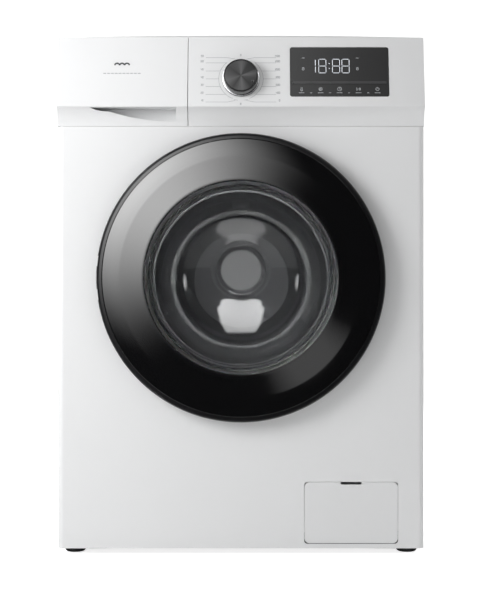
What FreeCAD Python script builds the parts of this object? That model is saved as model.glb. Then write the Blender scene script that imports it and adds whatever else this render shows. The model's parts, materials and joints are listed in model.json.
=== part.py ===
"""Front load washing machine, modelled in millimetres.

The frame: origin on the floor under the middle of the bounding box, +Z up, the door faces -Y and
+X is to the right of somebody who stands in front of it.
"""

import FreeCAD, Part
import math
import operator
import os

import Sketcher

doc = FreeCAD.newDocument("washing_machine")
sheet = doc.addObject("Spreadsheet::Sheet", "Dims")

ORIGIN, PLAIN = -1, FreeCAD.Rotation()
OPERATIONS = {"+": operator.add, "-": operator.sub, "*": operator.mul, "/": operator.truediv}
AXES = {"x": FreeCAD.Vector(1, 0, 0), "y": FreeCAD.Vector(0, 1, 0), "z": FreeCAD.Vector(0, 0, 1)}
nodes = []


# ---------------------------------------------------------------- sizes that stay tied to the sheet


class Size:
    """A number together with the spreadsheet expression that gives it."""

    def __init__(self, value, text):
        self.value, self.text = float(value), text

    def __add__(self, other):
        return joined(self, "+", other)

    def __radd__(self, other):
        return joined(other, "+", self)

    def __sub__(self, other):
        return joined(self, "-", other)

    def __rsub__(self, other):
        return joined(other, "-", self)

    def __mul__(self, other):
        return joined(self, "*", other)

    def __rmul__(self, other):
        return joined(other, "*", self)

    def __truediv__(self, other):
        return joined(self, "/", other)

    def __rtruediv__(self, other):
        return joined(other, "/", self)

    def __neg__(self):
        return joined(0, "-", self)


def number(x):
    return x.value if isinstance(x, Size) else float(x)


def words(x):
    return x.text if isinstance(x, Size) else repr(float(x))


def joined(a, mark, b):
    value = OPERATIONS[mark](number(a), number(b))
    return Size(value, f"({words(a)} {mark} {words(b)})")


def root(x):
    return Size(math.sqrt(number(x)), f"sqrt({words(x)})")


def sine(degrees):
    return Size(math.sin(math.radians(number(degrees))), f"sin({words(degrees)})")


def cosine(degrees):
    return Size(math.cos(math.radians(number(degrees))), f"cos({words(degrees)})")


def size(name, value):
    """Writes one dimension, or the formula that ties it to earlier ones, into the next row of the sheet."""
    row = len(sheet.getUsedCells()) // 2 + 1
    sheet.set(f"A{row}", name.replace("_", " "))
    sheet.set(f"B{row}", "=" + value.text.replace("Dims.", "") if isinstance(value, Size) else str(value))
    sheet.setAlias(f"B{row}", name)
    return Size(number(value), f"Dims.{name}")


def bind(thing, place, value):
    """Sets a property, or ties it to the sheet where the value came from there."""
    thing.setExpression(place, words(value))


# ---------------------------------------------------------------- primitives and booleans


def place(thing, at, turn=PLAIN, angle=None):
    """Puts a thing at a point, with a fixed turn, or with one whose angle follows the sheet."""
    thing.Placement = FreeCAD.Placement(FreeCAD.Vector(*[number(c) for c in at]), turn)
    for axis, value in zip("xyz", at):
        bind(thing, f"Placement.Base.{axis}", value)
    if angle is not None:
        bind(thing, "Placement.Rotation.Angle", angle)
    return thing


def leaning(sign=-1):
    """The turn about X that lays a piece against the sloping fascia."""
    return FreeCAD.Rotation(FreeCAD.Vector(sign, 0, 0), number(fascia_tilt))


def box(name, low, high):
    """A block between two corners."""
    made = doc.addObject("Part::Box", name)
    place(made, low)
    for side, a, b in zip(("Length", "Width", "Height"), low, high):
        bind(made, side, b - a)
    return made


def rod(name, at, axis, radius, length):
    """A round bar that starts at a point and runs along +x, +y or +z."""
    made = doc.addObject("Part::Cylinder", name)
    place(made, at, FreeCAD.Rotation(AXES["z"], AXES[axis]))
    bind(made, "Radius", radius)
    bind(made, "Height", length)
    return made


def half_torus(name, at, radius, wire):
    """Half a ring of round wire in the XY plane that bulges towards +y."""
    made = doc.addObject("Part::Torus", name)
    place(made, at)
    bind(made, "Radius1", radius)
    bind(made, "Radius2", wire)
    made.Angle3 = 180
    return made


def fuse(name, *pieces):
    made = doc.addObject("Part::MultiFuse", name)
    made.Shapes = list(pieces)
    return made


def cut(name, base, *tools):
    made = doc.addObject("Part::Cut", name)
    made.Base = base
    made.Tool = tools[0] if len(tools) == 1 else fuse(name + "_tools", *tools)
    return made


def common(name, a, b):
    made = doc.addObject("Part::Common", name)
    made.Base, made.Tool = a, b
    return made


def group(name, *pieces):
    """Separate solids that share one node."""
    made = doc.addObject("Part::Compound", name)
    made.Links = list(pieces)
    return made


def node(name, made):
    """Marks a finished sub-part: its label becomes the name of its file."""
    made.Label = name
    nodes.append(made)
    return made


# ---------------------------------------------------------------- sketched bodies


def body(name, at=(0, 0, 0), turn=PLAIN, angle=None):
    return place(doc.addObject("PartDesign::Body", name), at, turn, angle)


def sketch(owner, plane, lift=None):
    """A sketch on one of the body's origin planes, lifted along the plane's normal if asked."""
    made = owner.newObject("Sketcher::SketchObject", owner.Name + "_sketch")
    flat = [f for f in owner.Origin.OriginFeatures if f.Role == plane + "_Plane"][0]
    made.AttachmentSupport = (flat, [""])
    made.MapMode = "FlatFace"
    if lift is not None:
        bind(made, "AttachmentOffset.Base.z", lift)
    return made


def hold(drawing, kind, geometry, point, value):
    """Dimensions one point of the drawing from its origin."""
    held = drawing.addConstraint(Sketcher.Constraint(kind, ORIGIN, 1, geometry, point, number(value)))
    bind(drawing, f"Constraints[{held}]", value)


def arc_between(start, end, radius):
    """The short arc from start to end: counter-clockwise for a positive radius, else clockwise."""
    run, middle = end - start, (start + end) / 2
    rise = math.sqrt(max(radius * radius - run.Length ** 2 / 4, 0))
    side = FreeCAD.Vector(-run.y, run.x, 0).normalize() * math.copysign(rise, radius)
    centre = middle + side
    first, last = (start, end) if radius > 0 else (end, start)
    angles = [math.atan2((p - centre).y, (p - centre).x) for p in (first, last)]
    if angles[1] < angles[0]:
        angles[1] += 2 * math.pi
    circle = Part.Circle(centre, FreeCAD.Vector(0, 0, 1), abs(radius))
    return Part.ArcOfCircle(circle, *angles)


def draw(drawing, corners):
    """A closed outline. A corner is (u, v), reached by a straight run, or (u, v, radius), by an arc."""
    points = [FreeCAD.Vector(number(c[0]), number(c[1]), 0) for c in corners]
    first = drawing.GeometryCount
    ends = []
    for i, corner in enumerate(corners):
        start, end = points[i - 1], points[i]
        if len(corner) == 2:
            drawing.addGeometry(Part.LineSegment(start, end), False)
            ends.append((1, 2))
        else:
            radius = number(corner[2])
            drawing.addGeometry(arc_between(start, end, radius), False)
            ends.append((1, 2) if radius > 0 else (2, 1))
    for i, corner in enumerate(corners):
        here, after = first + i, first + (i + 1) % len(corners)
        joint = (here, ends[i][1], after, ends[(i + 1) % len(corners)][0])
        drawing.addConstraint(Sketcher.Constraint("Coincident", *joint))
        hold(drawing, "DistanceX", here, ends[i][1], corner[0])
        hold(drawing, "DistanceY", here, ends[i][1], corner[1])
        if len(corner) == 3:
            bend = abs(number(corner[2]))
            held = drawing.addConstraint(Sketcher.Constraint("Radius", here, bend))
            bind(drawing, f"Constraints[{held}]", corner[2] if number(corner[2]) > 0 else -corner[2])
    return drawing


def circle(drawing, u, v, radius):
    centre = FreeCAD.Vector(number(u), number(v), 0)
    drawn = drawing.addGeometry(Part.Circle(centre, FreeCAD.Vector(0, 0, 1), number(radius)), False)
    hold(drawing, "DistanceX", drawn, 3, u)
    hold(drawing, "DistanceY", drawn, 3, v)
    held = drawing.addConstraint(Sketcher.Constraint("Radius", drawn, number(radius)))
    bind(drawing, f"Constraints[{held}]", radius)
    return drawing


def rounded(low_u, low_v, high_u, high_v, radius):
    """The corners of a rectangle with round corners."""
    return [
        (low_u + radius, low_v),
        (high_u - radius, low_v),
        (high_u, low_v + radius, radius),
        (high_u, high_v - radius),
        (high_u - radius, high_v, radius),
        (low_u + radius, high_v),
        (low_u, high_v - radius, radius),
        (low_u, low_v + radius),
        (low_u + radius, low_v, radius),
    ][1:]


def feature(owner, kind, drawing):
    made = owner.newObject("PartDesign::" + kind, owner.Name + "_" + kind.lower())
    made.Profile = (drawing, [""])
    return made


def pad(owner, drawing, length, back=False, taper=0):
    """Thickens a drawing along its plane's normal, or against it."""
    made = feature(owner, "Pad", drawing)
    bind(made, "Length", length)
    made.Reversed = back
    made.TaperAngle = taper
    return made


def turned(name, at, profile, turn=PLAIN, angle=None, sweep=360):
    """A body turned about its own Y axis. The profile gives (place along Y, radius) corners."""
    made = body(name, at, turn, angle)
    spin = feature(made, "Revolution", draw(sketch(made, "YZ"), profile))
    spin.ReferenceAxis = (spin.Profile[0], ["H_Axis"])
    bind(spin, "Angle", sweep)
    return made


def upright(name, at, profile):
    """A body turned about its own Z axis. The profile gives (radius, height) corners."""
    made = body(name, at)
    spin = feature(made, "Revolution", draw(sketch(made, "XZ"), profile))
    spin.ReferenceAxis = (spin.Profile[0], ["V_Axis"])
    spin.Angle = 360
    return made


def slab(name, at, plane, outline, length, back=False, turn=PLAIN, angle=None, holes=()):
    """A flat piece: an outline on a plane, with round holes, thickened by a length."""
    made = body(name, at, turn, angle)
    drawing = draw(sketch(made, plane), outline)
    for u, v, radius in holes:
        circle(drawing, u, v, radius)
    pad(made, drawing, length, back)
    return made


# ---------------------------------------------------------------- driving dimensions

# The case.
cabinet_width = size("cabinet_width", 595)
cabinet_depth = size("cabinet_depth", 500)
overall_height = size("overall_height", 845)
door_projection = size("door_projection", 45)
rear_projection = size("rear_projection", 20)
sheet_wall = size("sheet_wall", 1)
part_gap = size("part_gap", 0.5)
running_gap = size("running_gap", 0.05)
panel_bottom = size("panel_bottom", 10)
console_height = size("console_height", 150)
seam_height = size("seam_height", overall_height - console_height)
panel_edge_radius = size("panel_edge_radius", 9)
panel_return = size("panel_return", 14)
shell_flange = size("shell_flange", 18)
shell_bend = size("shell_bend", 6)
side_press_depth = size("side_press_depth", 2.5)
side_press_margin = size("side_press_margin", 60)
worktop_thickness = size("worktop_thickness", 26)
worktop_setback = size("worktop_setback", 35)
console_depth = size("console_depth", 60)
crown = size("fascia_crown", 4)
worktop_top = overall_height - crown
shell_top = worktop_top - worktop_thickness

# The console and what it carries.
fascia_tilt = size("fascia_tilt", 12)
crease_rise = size("crease_rise", 31)
crease_projection = size("crease_projection", 14)
cove_radius = size("cove_radius", 35)
plastic_wall = size("plastic_wall", 2.5)
drawer_split = size("drawer_split", 86)
window_left = size("window_left", 79.5)
window_width = size("window_width", 160.5)
window_rise = size("window_rise", 15.8)
window_height = size("window_height", 84.6)
window_thickness = size("window_thickness", 3)
key_rise = size("key_rise", 39.6)
key_width = size("key_width", 30.6)
key_height = size("key_height", 4.4)
key_travel = size("key_travel", 0.8)
knob_rise = size("knob_rise", 46)
knob_radius = size("knob_radius", 28)
knob_skirt = size("knob_skirt", 30.5)
knob_height = size("knob_height", 17)
knob_shaft = size("knob_shaft", 3)
tray_left, tray_right = -size("tray_left", 281), -size("tray_right", 99)
tray_rise = size("tray_rise", 28)
tray_bottom = size("tray_bottom", seam_height + tray_rise)
tray_depth = size("tray_depth", 215)
tray_height = size("tray_height", 66)
tray_wall = size("tray_wall", 2)
housing_gap = size("housing_gap", 5)
housing_top = size("housing_top", shell_top - housing_gap)
housing_depth = size("housing_depth", 232)
grip_left, grip_right = -size("grip_left", 244), -size("grip_right", 105)

# The door: its glass sets the ring's mouth, and its edge sets how far it hangs under the seam.
door_radius = size("door_radius", 233)
door_drop = size("door_drop", 13)
door_height = size("door_height", seam_height - door_radius - door_drop)
door_overlap = size("door_overlap", 17)
recess_radius = size("recess_radius", door_radius - door_overlap)
recess_depth = size("recess_depth", 16)
collar_radius = size("collar_radius", 175)
bowl_radius = size("bowl_radius", 150)
bowl_margin = size("bowl_margin", 4)
window_radius = size("door_window_radius", bowl_radius + bowl_margin)
bowl_depth = size("bowl_depth", 122)
glass_wall = size("glass_wall", 6)
nose_radius = size("nose_radius", 44)
nose_offset = size("nose_offset", 15)
hinge_inset = size("hinge_inset", 12)
hinge_reach = size("hinge_reach", door_radius - hinge_inset)
hinge_stand_off = size("hinge_stand_off", 17)
hinge_pin_radius = size("hinge_pin_radius", 3)
hinge_arm_height = size("hinge_arm_height", 27)
hinge_foot_x = size("hinge_foot_x", hinge_reach - hinge_stand_off)
leaf_boss_inset = size("leaf_boss_inset", 36)
leaf_boss_x = size("leaf_boss_x", hinge_reach - leaf_boss_inset)
hook_margin = size("hook_margin", 15)
hook_reach = size("hook_reach", collar_radius + hook_margin)

# The tub and what hangs on it.
tub_front_face = size("tub_front_face", 84)
tub_length = size("tub_length", 304)
tub_radius = size("tub_radius", 262)
tub_wall = size("tub_wall", 4)
tub_opening = size("tub_opening", 166)
drum_gap = size("drum_gap", 15)
drum_radius = size("drum_radius", tub_radius - tub_wall - drum_gap)
drum_opening = size("drum_opening", 158)
drum_steel = size("drum_steel", 1)
shaft_radius = size("shaft_radius", 15)
front_bearing, rear_bearing = size("front_bearing", 31), size("rear_bearing", 26)
pulley_radius = size("pulley_radius", 140)
motor_radius = size("motor_radius", 58)
motor_gap = size("motor_gap", 10)
motor_drop = size("motor_drop", tub_radius + motor_gap + motor_radius)
motor_length = size("motor_length", 128)
motor_setback = size("motor_setback", 292)
motor_pulley_radius = size("motor_pulley_radius", 12)
belt_width = size("belt_width", 12)
belt_thickness = size("belt_thickness", 3)
heater_x, heater_wire = size("heater_x", 22), size("heater_wire", 4)
heater_drop = size("heater_drop", tub_radius - 11)
spring_inset = size("spring_inset", 40)
spring_x = size("spring_x", tub_radius - spring_inset)
spring_setback = size("spring_setback", 294)
spring_clearance = size("spring_clearance", 16.37)
coil_radius = size("coil_radius", 14)
spring_foot = size("spring_foot", door_height + root(
    (tub_radius + spring_clearance) * (tub_radius + spring_clearance)
    - (spring_x - coil_radius) * (spring_x - coil_radius)))

# Feet, dampers, flap, water and drain.
foot_inset = size("foot_inset", 25)
foot_radius = size("foot_radius", 17)
foot_plate = size("foot_plate", 76)
stud_radius = size("stud_radius", 5)
damper_base_x = size("damper_base_x", 235)
damper_base_z = size("damper_base_z", 52)
damper_inset = size("damper_inset", 77)
damper_top_x = size("damper_top_x", tub_radius - damper_inset)
damper_top_z = size("damper_top_z", door_height - tub_radius + 38)
damper_setback = size("damper_setback", 212)
damper_eye = size("damper_eye", 22)
damper_pin = size("damper_pin", 5)
flap_left = size("flap_left", 103.1)
flap_width = size("flap_width", 151.6)
flap_bottom = size("flap_bottom", 18.4)
flap_height = size("flap_height", 99)
flap_thickness = size("flap_thickness", 2.5)
service_half_width = size("service_half_width", 185)
service_half_height = size("service_half_height", 225)
service_drop = size("service_drop", 50)
inlet_drop = size("inlet_drop", 47)
inlet_x, inlet_height = -size("inlet_offset", 256), size("inlet_height", shell_top - inlet_drop)
outlet_x, outlet_height = size("outlet_offset", 262), size("outlet_height", 95)
gland_x, gland_height = size("gland_offset", 235), size("gland_height", shell_top - inlet_drop)
transit_x = size("transit_offset", 222)
transit_rise = size("transit_rise", 150)
inlet_radius = size("inlet_radius", 13.2)
outlet_radius = size("outlet_radius", 10.5)
hose_x, hose_radius = -size("hose_offset", 128), size("hose_radius", 20)
hose_setback = size("hose_setback", 205)
pump_z = size("pump_height", 68)
sump_setback = size("sump_setback", 112)
sump_x = size("sump_offset", 78)
sump_hose_radius = size("sump_hose_radius", 15)
drain_hose_rise = size("drain_hose_rise", 180)

half_width = cabinet_width / 2
front = (door_projection - cabinet_depth - rear_projection) / 2
back = front + cabinet_depth
door_axis = (0, front, door_height)
shell_bottom = panel_bottom + 2
console_bottom = seam_height + part_gap
crease_height = console_bottom + crease_rise
crease_line = (0, front - crease_projection, crease_height)
slope = sine(fascia_tilt) / cosine(fascia_tilt)
lean = {"turn": leaning(), "angle": fascia_tilt}
damper_y = front + damper_setback
spring_y = front + spring_setback
motor_y = front + motor_setback
hose_y = front + hose_setback
pump_x = flap_left + flap_width / 2
doc.recompute()


def along_fascia(x, rise, depth):
    """A point given across the fascia, up its slope from the crease, and into it."""
    return (
        x,
        front - crease_projection + rise * sine(fascia_tilt) + depth * cosine(fascia_tilt),
        crease_height + rise * cosine(fascia_tilt) - depth * sine(fascia_tilt),
    )


# ---------------------------------------------------------------- case


def cabinet_shell():
    """One sheet bent round both sides and the back, with a service opening and pressed sides."""
    side_front = front + panel_return + part_gap
    wall, bend = sheet_wall, shell_bend
    outline = [
        (-half_width + shell_flange, side_front),
        (-half_width + shell_flange, side_front + wall),
        (-half_width + wall, side_front + wall),
        (-half_width + wall, back - bend),
        (-half_width + bend, back - wall, -(bend - wall)),
        (half_width - bend, back - wall),
        (half_width - wall, back - bend, -(bend - wall)),
        (half_width - wall, side_front + wall),
        (half_width - shell_flange, side_front + wall),
        (half_width - shell_flange, side_front),
        (half_width, side_front),
        (half_width, back - bend),
        (half_width - bend, back, bend),
        (-half_width + bend, back),
        (-half_width, back - bend, bend),
        (-half_width, side_front),
    ]
    wrap = slab("wrap", (0, 0, shell_bottom), "XY", outline, shell_top - shell_bottom)
    press_depth, margin = side_press_depth, side_press_margin
    tools, bosses = [], []
    for side in (-1, 1):
        skin = side * half_width
        inner = side * (half_width - wall)
        reach = (front + margin * 1.5, back - margin)
        span = (shell_bottom + margin, seam_height - margin)
        for kind, start, grow, depth in (("boss", inner, wall, press_depth), ("press", skin, 0, press_depth)):
            shape = rounded(reach[0] - grow, span[0] - grow, reach[1] + grow, span[1] + grow, 30)
            made = body(f"side_{kind}_{'left' if side < 0 else 'right'}", (start, 0, 0))
            pad(made, draw(sketch(made, "YZ"), shape), depth, back=side > 0, taper=-45)
            (bosses if kind == "boss" else tools).append(made)
    for name, x, z, radius in rear_holes():
        tools.append(rod(name, (x, back - 10, z), "y", radius, 20))
    service = rounded(-service_half_width, door_height - service_half_height - service_drop,
                      service_half_width, door_height + service_half_height - service_drop, 40)
    tools.append(slab("service_opening", (0, back + 5, 0), "XZ", service, 10))
    high = (half_width + 5, front + console_depth, overall_height)
    tools.append(box("console_notch", (-half_width - 5, front - 20, seam_height), high))
    node("cabinet_shell", cut("cabinet", fuse("pressed_wrap", wrap, *bosses), *tools))


def transit_places():
    return [(sx * transit_x, door_height + sz * transit_rise) for sx in (-1, 1) for sz in (-1, 1)]


def rear_holes():
    """(name, x, z, radius) of the round holes in the back wall."""
    found = [
        ("inlet_hole", inlet_x, inlet_height, inlet_radius + 3),
        ("outlet_hole", outlet_x, outlet_height, outlet_radius + 2),
        ("gland_hole", gland_x, gland_height, 10),
    ]
    for i, (x, z) in enumerate(transit_places()):
        found.append((f"transit_hole_{i}", x, z, 14))
    return found


def front_panel():
    """The painted front: a sheet with round vertical edges, a dished door recess and a flap opening."""
    edge, wall, end = panel_edge_radius, sheet_wall, front + panel_return
    outline = [
        (-half_width, front + edge),
        (-half_width + edge, front, edge),
        (half_width - edge, front),
        (half_width, front + edge, edge),
        (half_width, end),
        (half_width - wall, end),
        (half_width - wall, front + edge),
        (half_width - edge, front + wall, -(edge - wall)),
        (-half_width + edge, front + wall),
        (-half_width + wall, front + edge, -(edge - wall)),
        (-half_width + wall, end),
        (-half_width, end),
    ]
    skin = slab("skin", (0, 0, panel_bottom), "XY", outline, seam_height - panel_bottom)
    lip, between = half_width - edge, half_width - shell_flange - part_gap
    low = box("low_lip", (-lip, front, panel_bottom), (lip, front + panel_return - 2, panel_bottom + wall))
    high = box("high_lip", (-between, front, seam_height - wall),
               (between, front + panel_return + 10, seam_height))
    mouth = rod("mouth", (0, front - 5, door_height), "y", recess_radius, 10)
    sheet_front = cut("skin_open", fuse("skin_lips", skin, low, high), mouth)
    draft = recess_radius - 8
    dish = turned("dish", door_axis, [
        (0, recess_radius),
        (recess_depth, draft),
        (recess_depth, collar_radius),
        (recess_depth + 12, collar_radius),
        (recess_depth + 12, collar_radius + wall),
        (recess_depth + wall, collar_radius + wall),
        (recess_depth + wall, draft + wall),
        (wall, recess_radius + wall),
        (0, recess_radius + wall),
    ])
    gap = part_gap
    opening = slab("flap_opening", (0, front + 5, 0), "XZ", rounded(
        flap_left - gap, flap_bottom - 2 * gap, flap_left + flap_width + gap,
        flap_bottom + flap_height + gap, 5.5), 10)
    tools = [opening]
    for side in (-1, 1):
        middle = door_height + side * hinge_arm_height
        tools.append(box(f"arm_slot_{side + 1}", (-hinge_foot_x - 4, front + 5, middle - 8),
                         (-hinge_foot_x + 14, front + recess_depth + 6, middle + 8)))
    tools.append(box("hook_slot", (hook_reach - 10, front + recess_depth - 1, door_height - 7),
                     (hook_reach + 17, front + recess_depth + 2, door_height + 7)))
    node("front_panel", cut("panel", fuse("panel_whole", sheet_front, dish), *tools))


def base_frame():
    """The black base: four bars, corner plates for the feet, and the ears that hold the dampers."""
    left, right = -half_width + sheet_wall * 3, half_width - sheet_wall * 3
    near, far = front + panel_return + sheet_wall + part_gap * 2, back - sheet_wall * 3
    bar, low, high = 38, panel_bottom, panel_bottom + 20
    bars = [
        box("front_bar", (left, near, low), (right, near + bar, high)),
        box("rear_bar", (left, far - bar, low), (right, far, high)),
        box("left_bar", (left, near, low), (left + bar, far, high)),
        box("right_bar", (right - bar, near, low), (right, far, high)),
    ]
    hollows = [
        box("front_hollow", (left + bar + 3, near + 3, low + 3), (right - bar - 3, near + bar - 3, high + 1)),
        box("rear_hollow", (left + bar + 3, far - bar + 3, low + 3), (right - bar - 3, far - 3, high + 1)),
    ]
    holes = []
    for name, x, y in feet_places():
        inward_x, inward_y = (-1 if x.value > 0 else 1), (-1 if y.value > 0 else 1)
        xs = sorted((x - inward_x * 20, x + inward_x * (foot_plate - 22)), key=number)
        ys = sorted((y - inward_y * 20, y + inward_y * 30), key=number)
        bars.append(box(f"plate_{name}", (xs[0], ys[0], low - 3), (xs[1], ys[1], low + 3)))
        holes.append(rod(f"stud_hole_{name}", (x, y, low - 5), "z", stud_radius + 0.3, 50))
    for side in (-1, 1):
        middle = side * damper_base_x
        for i, (y0, y1) in enumerate(((-20, -damper_eye / 2 - 0.5), (damper_eye / 2 + 0.5, 20))):
            bars.append(box(f"base_ear_{side + 1}_{i}", (middle - 10, damper_y + y0, low),
                            (middle + 10, damper_y + y1, damper_base_z + 8)))
        bars.append(box(f"ear_bridge_{side + 1}",
                        (sorted((middle - side * 10, side * (half_width - 30)), key=number)[0],
                         damper_y - 20, low),
                        (sorted((middle - side * 10, side * (half_width - 30)), key=number)[1],
                         damper_y + 20, low + 14)))
        bars.append(rod(f"base_pin_{side + 1}", (middle, damper_y - 18, damper_base_z), "y", damper_pin, 36))
    node("base_frame", cut("base", fuse("base_bars", *bars), *hollows, *holes))


def feet_places():
    x, near, far = half_width - foot_inset, front + panel_return + 22, back - 24
    return [("front_left", -x, near), ("front_right", x, near), ("rear_left", -x, far),
            ("rear_right", x, far)]


def feet():
    """Four levelling feet: a round pad on a threaded stud."""
    top = panel_bottom - 3.5
    profile = [
        (0, 0),
        (foot_radius - 6, 0),
        (foot_radius, top - 2, 5.4),
        (foot_radius, top),
        (stud_radius, top),
        (stud_radius, top + 30),
        (stud_radius - 1, top + 31),
        (0, top + 31),
    ]
    for name, x, y in feet_places():
        node(f"foot_{name}", upright(f"foot_body_{name}", (x, y, 0), profile))


def worktop():
    """The removable top board with soft edges."""
    near = front + worktop_setback
    outline = rounded(-half_width, near, half_width, back, 5)
    made = slab("board", (0, 0, shell_top), "XY", outline, worktop_thickness)
    doc.recompute()
    rim = [f"Edge{i + 1}" for i, e in enumerate(made.Shape.Edges)
           if max(abs(e.BoundBox.ZMin - worktop_top.value), abs(e.BoundBox.ZMax - worktop_top.value)) < 0.01]
    board = made.Tip
    soft = made.newObject("PartDesign::Fillet", "board_edge")
    soft.Base = (board, rim)
    soft.Radius = 3
    node("worktop", made)


def upper_crossbars():
    """The bar behind the front panel's top edge and the bar that the springs hang from."""
    span = half_width - sheet_wall
    near, low_z = front + console_depth + 2, seam_height + 14
    low = box("front_crossbar", (-span, near, low_z), (span, near + 18, low_z + 9))
    high = box("spring_crossbar", (-span, spring_y - 14, shell_top - 16),
               (span, spring_y + 14, shell_top - 1))
    low = cut("front_crossbar_channel", low, box("front_crossbar_void", (-span - 1, near + 2, low_z + 2),
                                                 (span + 1, near + 16, low_z + 20)))
    high = cut("spring_crossbar_channel", high,
               box("spring_crossbar_void", (-span - 1, spring_y - 12, shell_top - 14),
                                                    (span + 1, spring_y + 12, shell_top)))
    node("upper_crossbars", group("crossbar_pair", low, high))


def rear_service_cover():
    """The pressed cover over the pulley: a plate with a raised middle, and its screws."""
    edge, rise = 14, rear_projection - sheet_wall - 1
    flat = rounded(-service_half_width - edge, door_height - service_half_height - service_drop - edge,
                   service_half_width + edge, door_height + service_half_height - service_drop + edge, 46)
    plate = slab("cover_plate", (0, back + sheet_wall, 0), "XZ", flat, sheet_wall)
    bulge = []
    for kind, grow, start in (("bulge", sheet_wall, 0), ("bulge_void", 0, -sheet_wall)):
        shape = rounded(-service_half_width + 20 - grow,
                        door_height - service_half_height - service_drop + 20 - grow,
                        service_half_width - 20 + grow,
                        door_height + service_half_height - service_drop - 20 + grow, 40)
        made = body(kind, (0, back + start, 0))
        pad(made, draw(sketch(made, "XZ"), shape), rise + 1, back=True, taper=-35)
        bulge.append(made)
    vents = []
    for i in range(7):
        z = door_height - service_drop - 60 + 20 * i
        vents.append(box(f"vent_{i}", (-60, back - 5, z), (60, back + rear_projection + 5, z + 6)))
    node("rear_service_cover", cut("cover", fuse("cover_whole", plate, bulge[0]), bulge[1], *vents))


def cabinet_screws():
    """Hexagon-washer screws round the service cover and behind the worktop."""
    made = []
    edge = 8
    for sx in (-1, 1):
        for i in range(4):
            x = sx * (service_half_width + edge)
            z = door_height - service_drop + (i - 1.5) * (service_half_height * 0.6)
            made.append(turned(f"cover_screw_{sx + 1}_{i}", (x, back + sheet_wall, z), screw_profile()))
    for sx in (-1, 1):
        made.append(turned(f"top_screw_{sx + 1}", (sx * 150, back, shell_top - 9), screw_profile()))
    node("cabinet_screws", group("screws", *made))


def screw_profile():
    """A pan head with a washer flange."""
    return [(0, 0), (0, 5.5), (1, 5.5), (1, 4), (3, 4), (4, 3), (4, 0)]


def transit_plugs():
    """Four caps that close the transit bolt holes."""
    made = []
    for i, (x, z) in enumerate(transit_places()):
        made.append(turned(f"transit_plug_{i}", (x, back, z),
                           [(0, 0), (-12, 0), (-12, 11), (-1, 13.6), (0, 13.6), (0, 19), (2, 19), (4, 16),
                            (4, 0)][1:]))
    node("transit_plugs", group("plugs", *made))


# ---------------------------------------------------------------- console and drawer


def console_section(inset, deep):
    """The side profile of the console, drawn (y, z): cove, crease, sloping fascia, top strip, back."""
    wall = plastic_wall * inset
    top = overall_height - wall
    slant = wall / cosine(fascia_tilt)
    lift = inset * 2
    crease_y = front - crease_projection + slant
    shoulder = top - crease_height
    bottom = console_bottom - inset * 5
    corner = 3.5
    outline = [
        (front + wall, bottom),
        (front + wall, console_bottom + 2),
        (crease_y + (wall - slant), crease_height - 1 + wall * 0.6, cove_radius + wall),
        (crease_y + (1 + lift) * slope, crease_height + 1 + lift),
        (crease_y + (shoulder - corner) * slope, top - corner),
        (crease_y + shoulder * slope + corner, top, -corner * 1.35),
    ]
    step = front + worktop_setback - part_gap * 2 + inset * 5
    outline += [(step, top)]
    if deep:
        rear = front + console_depth - part_gap + inset * 5
        outline += [(step, shell_top - part_gap - wall), (rear, shell_top - part_gap - wall), (rear, bottom)]
        if inset:
            outline[-4:] = [(front + worktop_setback - part_gap * 2 - wall, top),
                            (front + worktop_setback - part_gap * 2 - wall, shell_top - part_gap - wall),
                            (rear, shell_top - part_gap - wall), (rear, bottom)]
    else:
        outline += [(step, bottom)]
    return outline


def crowned(name, section, left, right, drop):
    """The section run from left to right, under a top edge that arches gently across the machine."""
    run = slab(name + "_run", (left, 0, 0), "YZ", section, right - left)
    arch = (half_width * half_width + crown * crown) / (2 * crown)
    barrel = rod(name + "_barrel", (0, front - 100, overall_height - arch), "y", arch - drop, 400)
    return common(name, run, barrel)


def console_fascia():
    """The right part of the console with its window and knob holes, and the bay behind the drawer."""
    left, wall = -drawer_split + part_gap, plastic_wall
    outer = crowned("fascia_outer", console_section(0, True), left, half_width, 0)
    inner = crowned("fascia_inner", console_section(1, True), left + wall, half_width - wall, wall)
    bay_y, bay_left = front + worktop_setback, -half_width
    bay = box("bay_wall", (bay_left, bay_y, console_bottom),
              (left + wall, bay_y + wall, shell_top - part_gap))
    cheek = box("bay_cheek", (bay_left, bay_y, console_bottom),
                (bay_left + wall, front + console_depth - part_gap, shell_top - part_gap))
    tray_mouth = box("tray_mouth", (tray_left - 2, bay_y - 5, tray_bottom - 2),
                     (tray_right + 2, bay_y + 10, housing_top))
    gap = 0.2
    window = slab("window_hole", along_fascia(0, 0, -5), "XZ",
                  rounded(window_left - gap, window_rise - gap, window_left + window_width + gap,
                          window_rise + window_height + gap, 4), 17, back=True, **lean)
    shaft = turned("shaft_hole", along_fascia(0, knob_rise, 0),
                   [(-10, 0), (-10, knob_shaft + 1), (20, knob_shaft + 1), (20, 0)], **lean)
    whole = cut("fascia_shell", outer, inner)
    node("console_fascia", cut("fascia", fuse("fascia_whole", whole, bay, cheek), tray_mouth, window, shaft))


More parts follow.
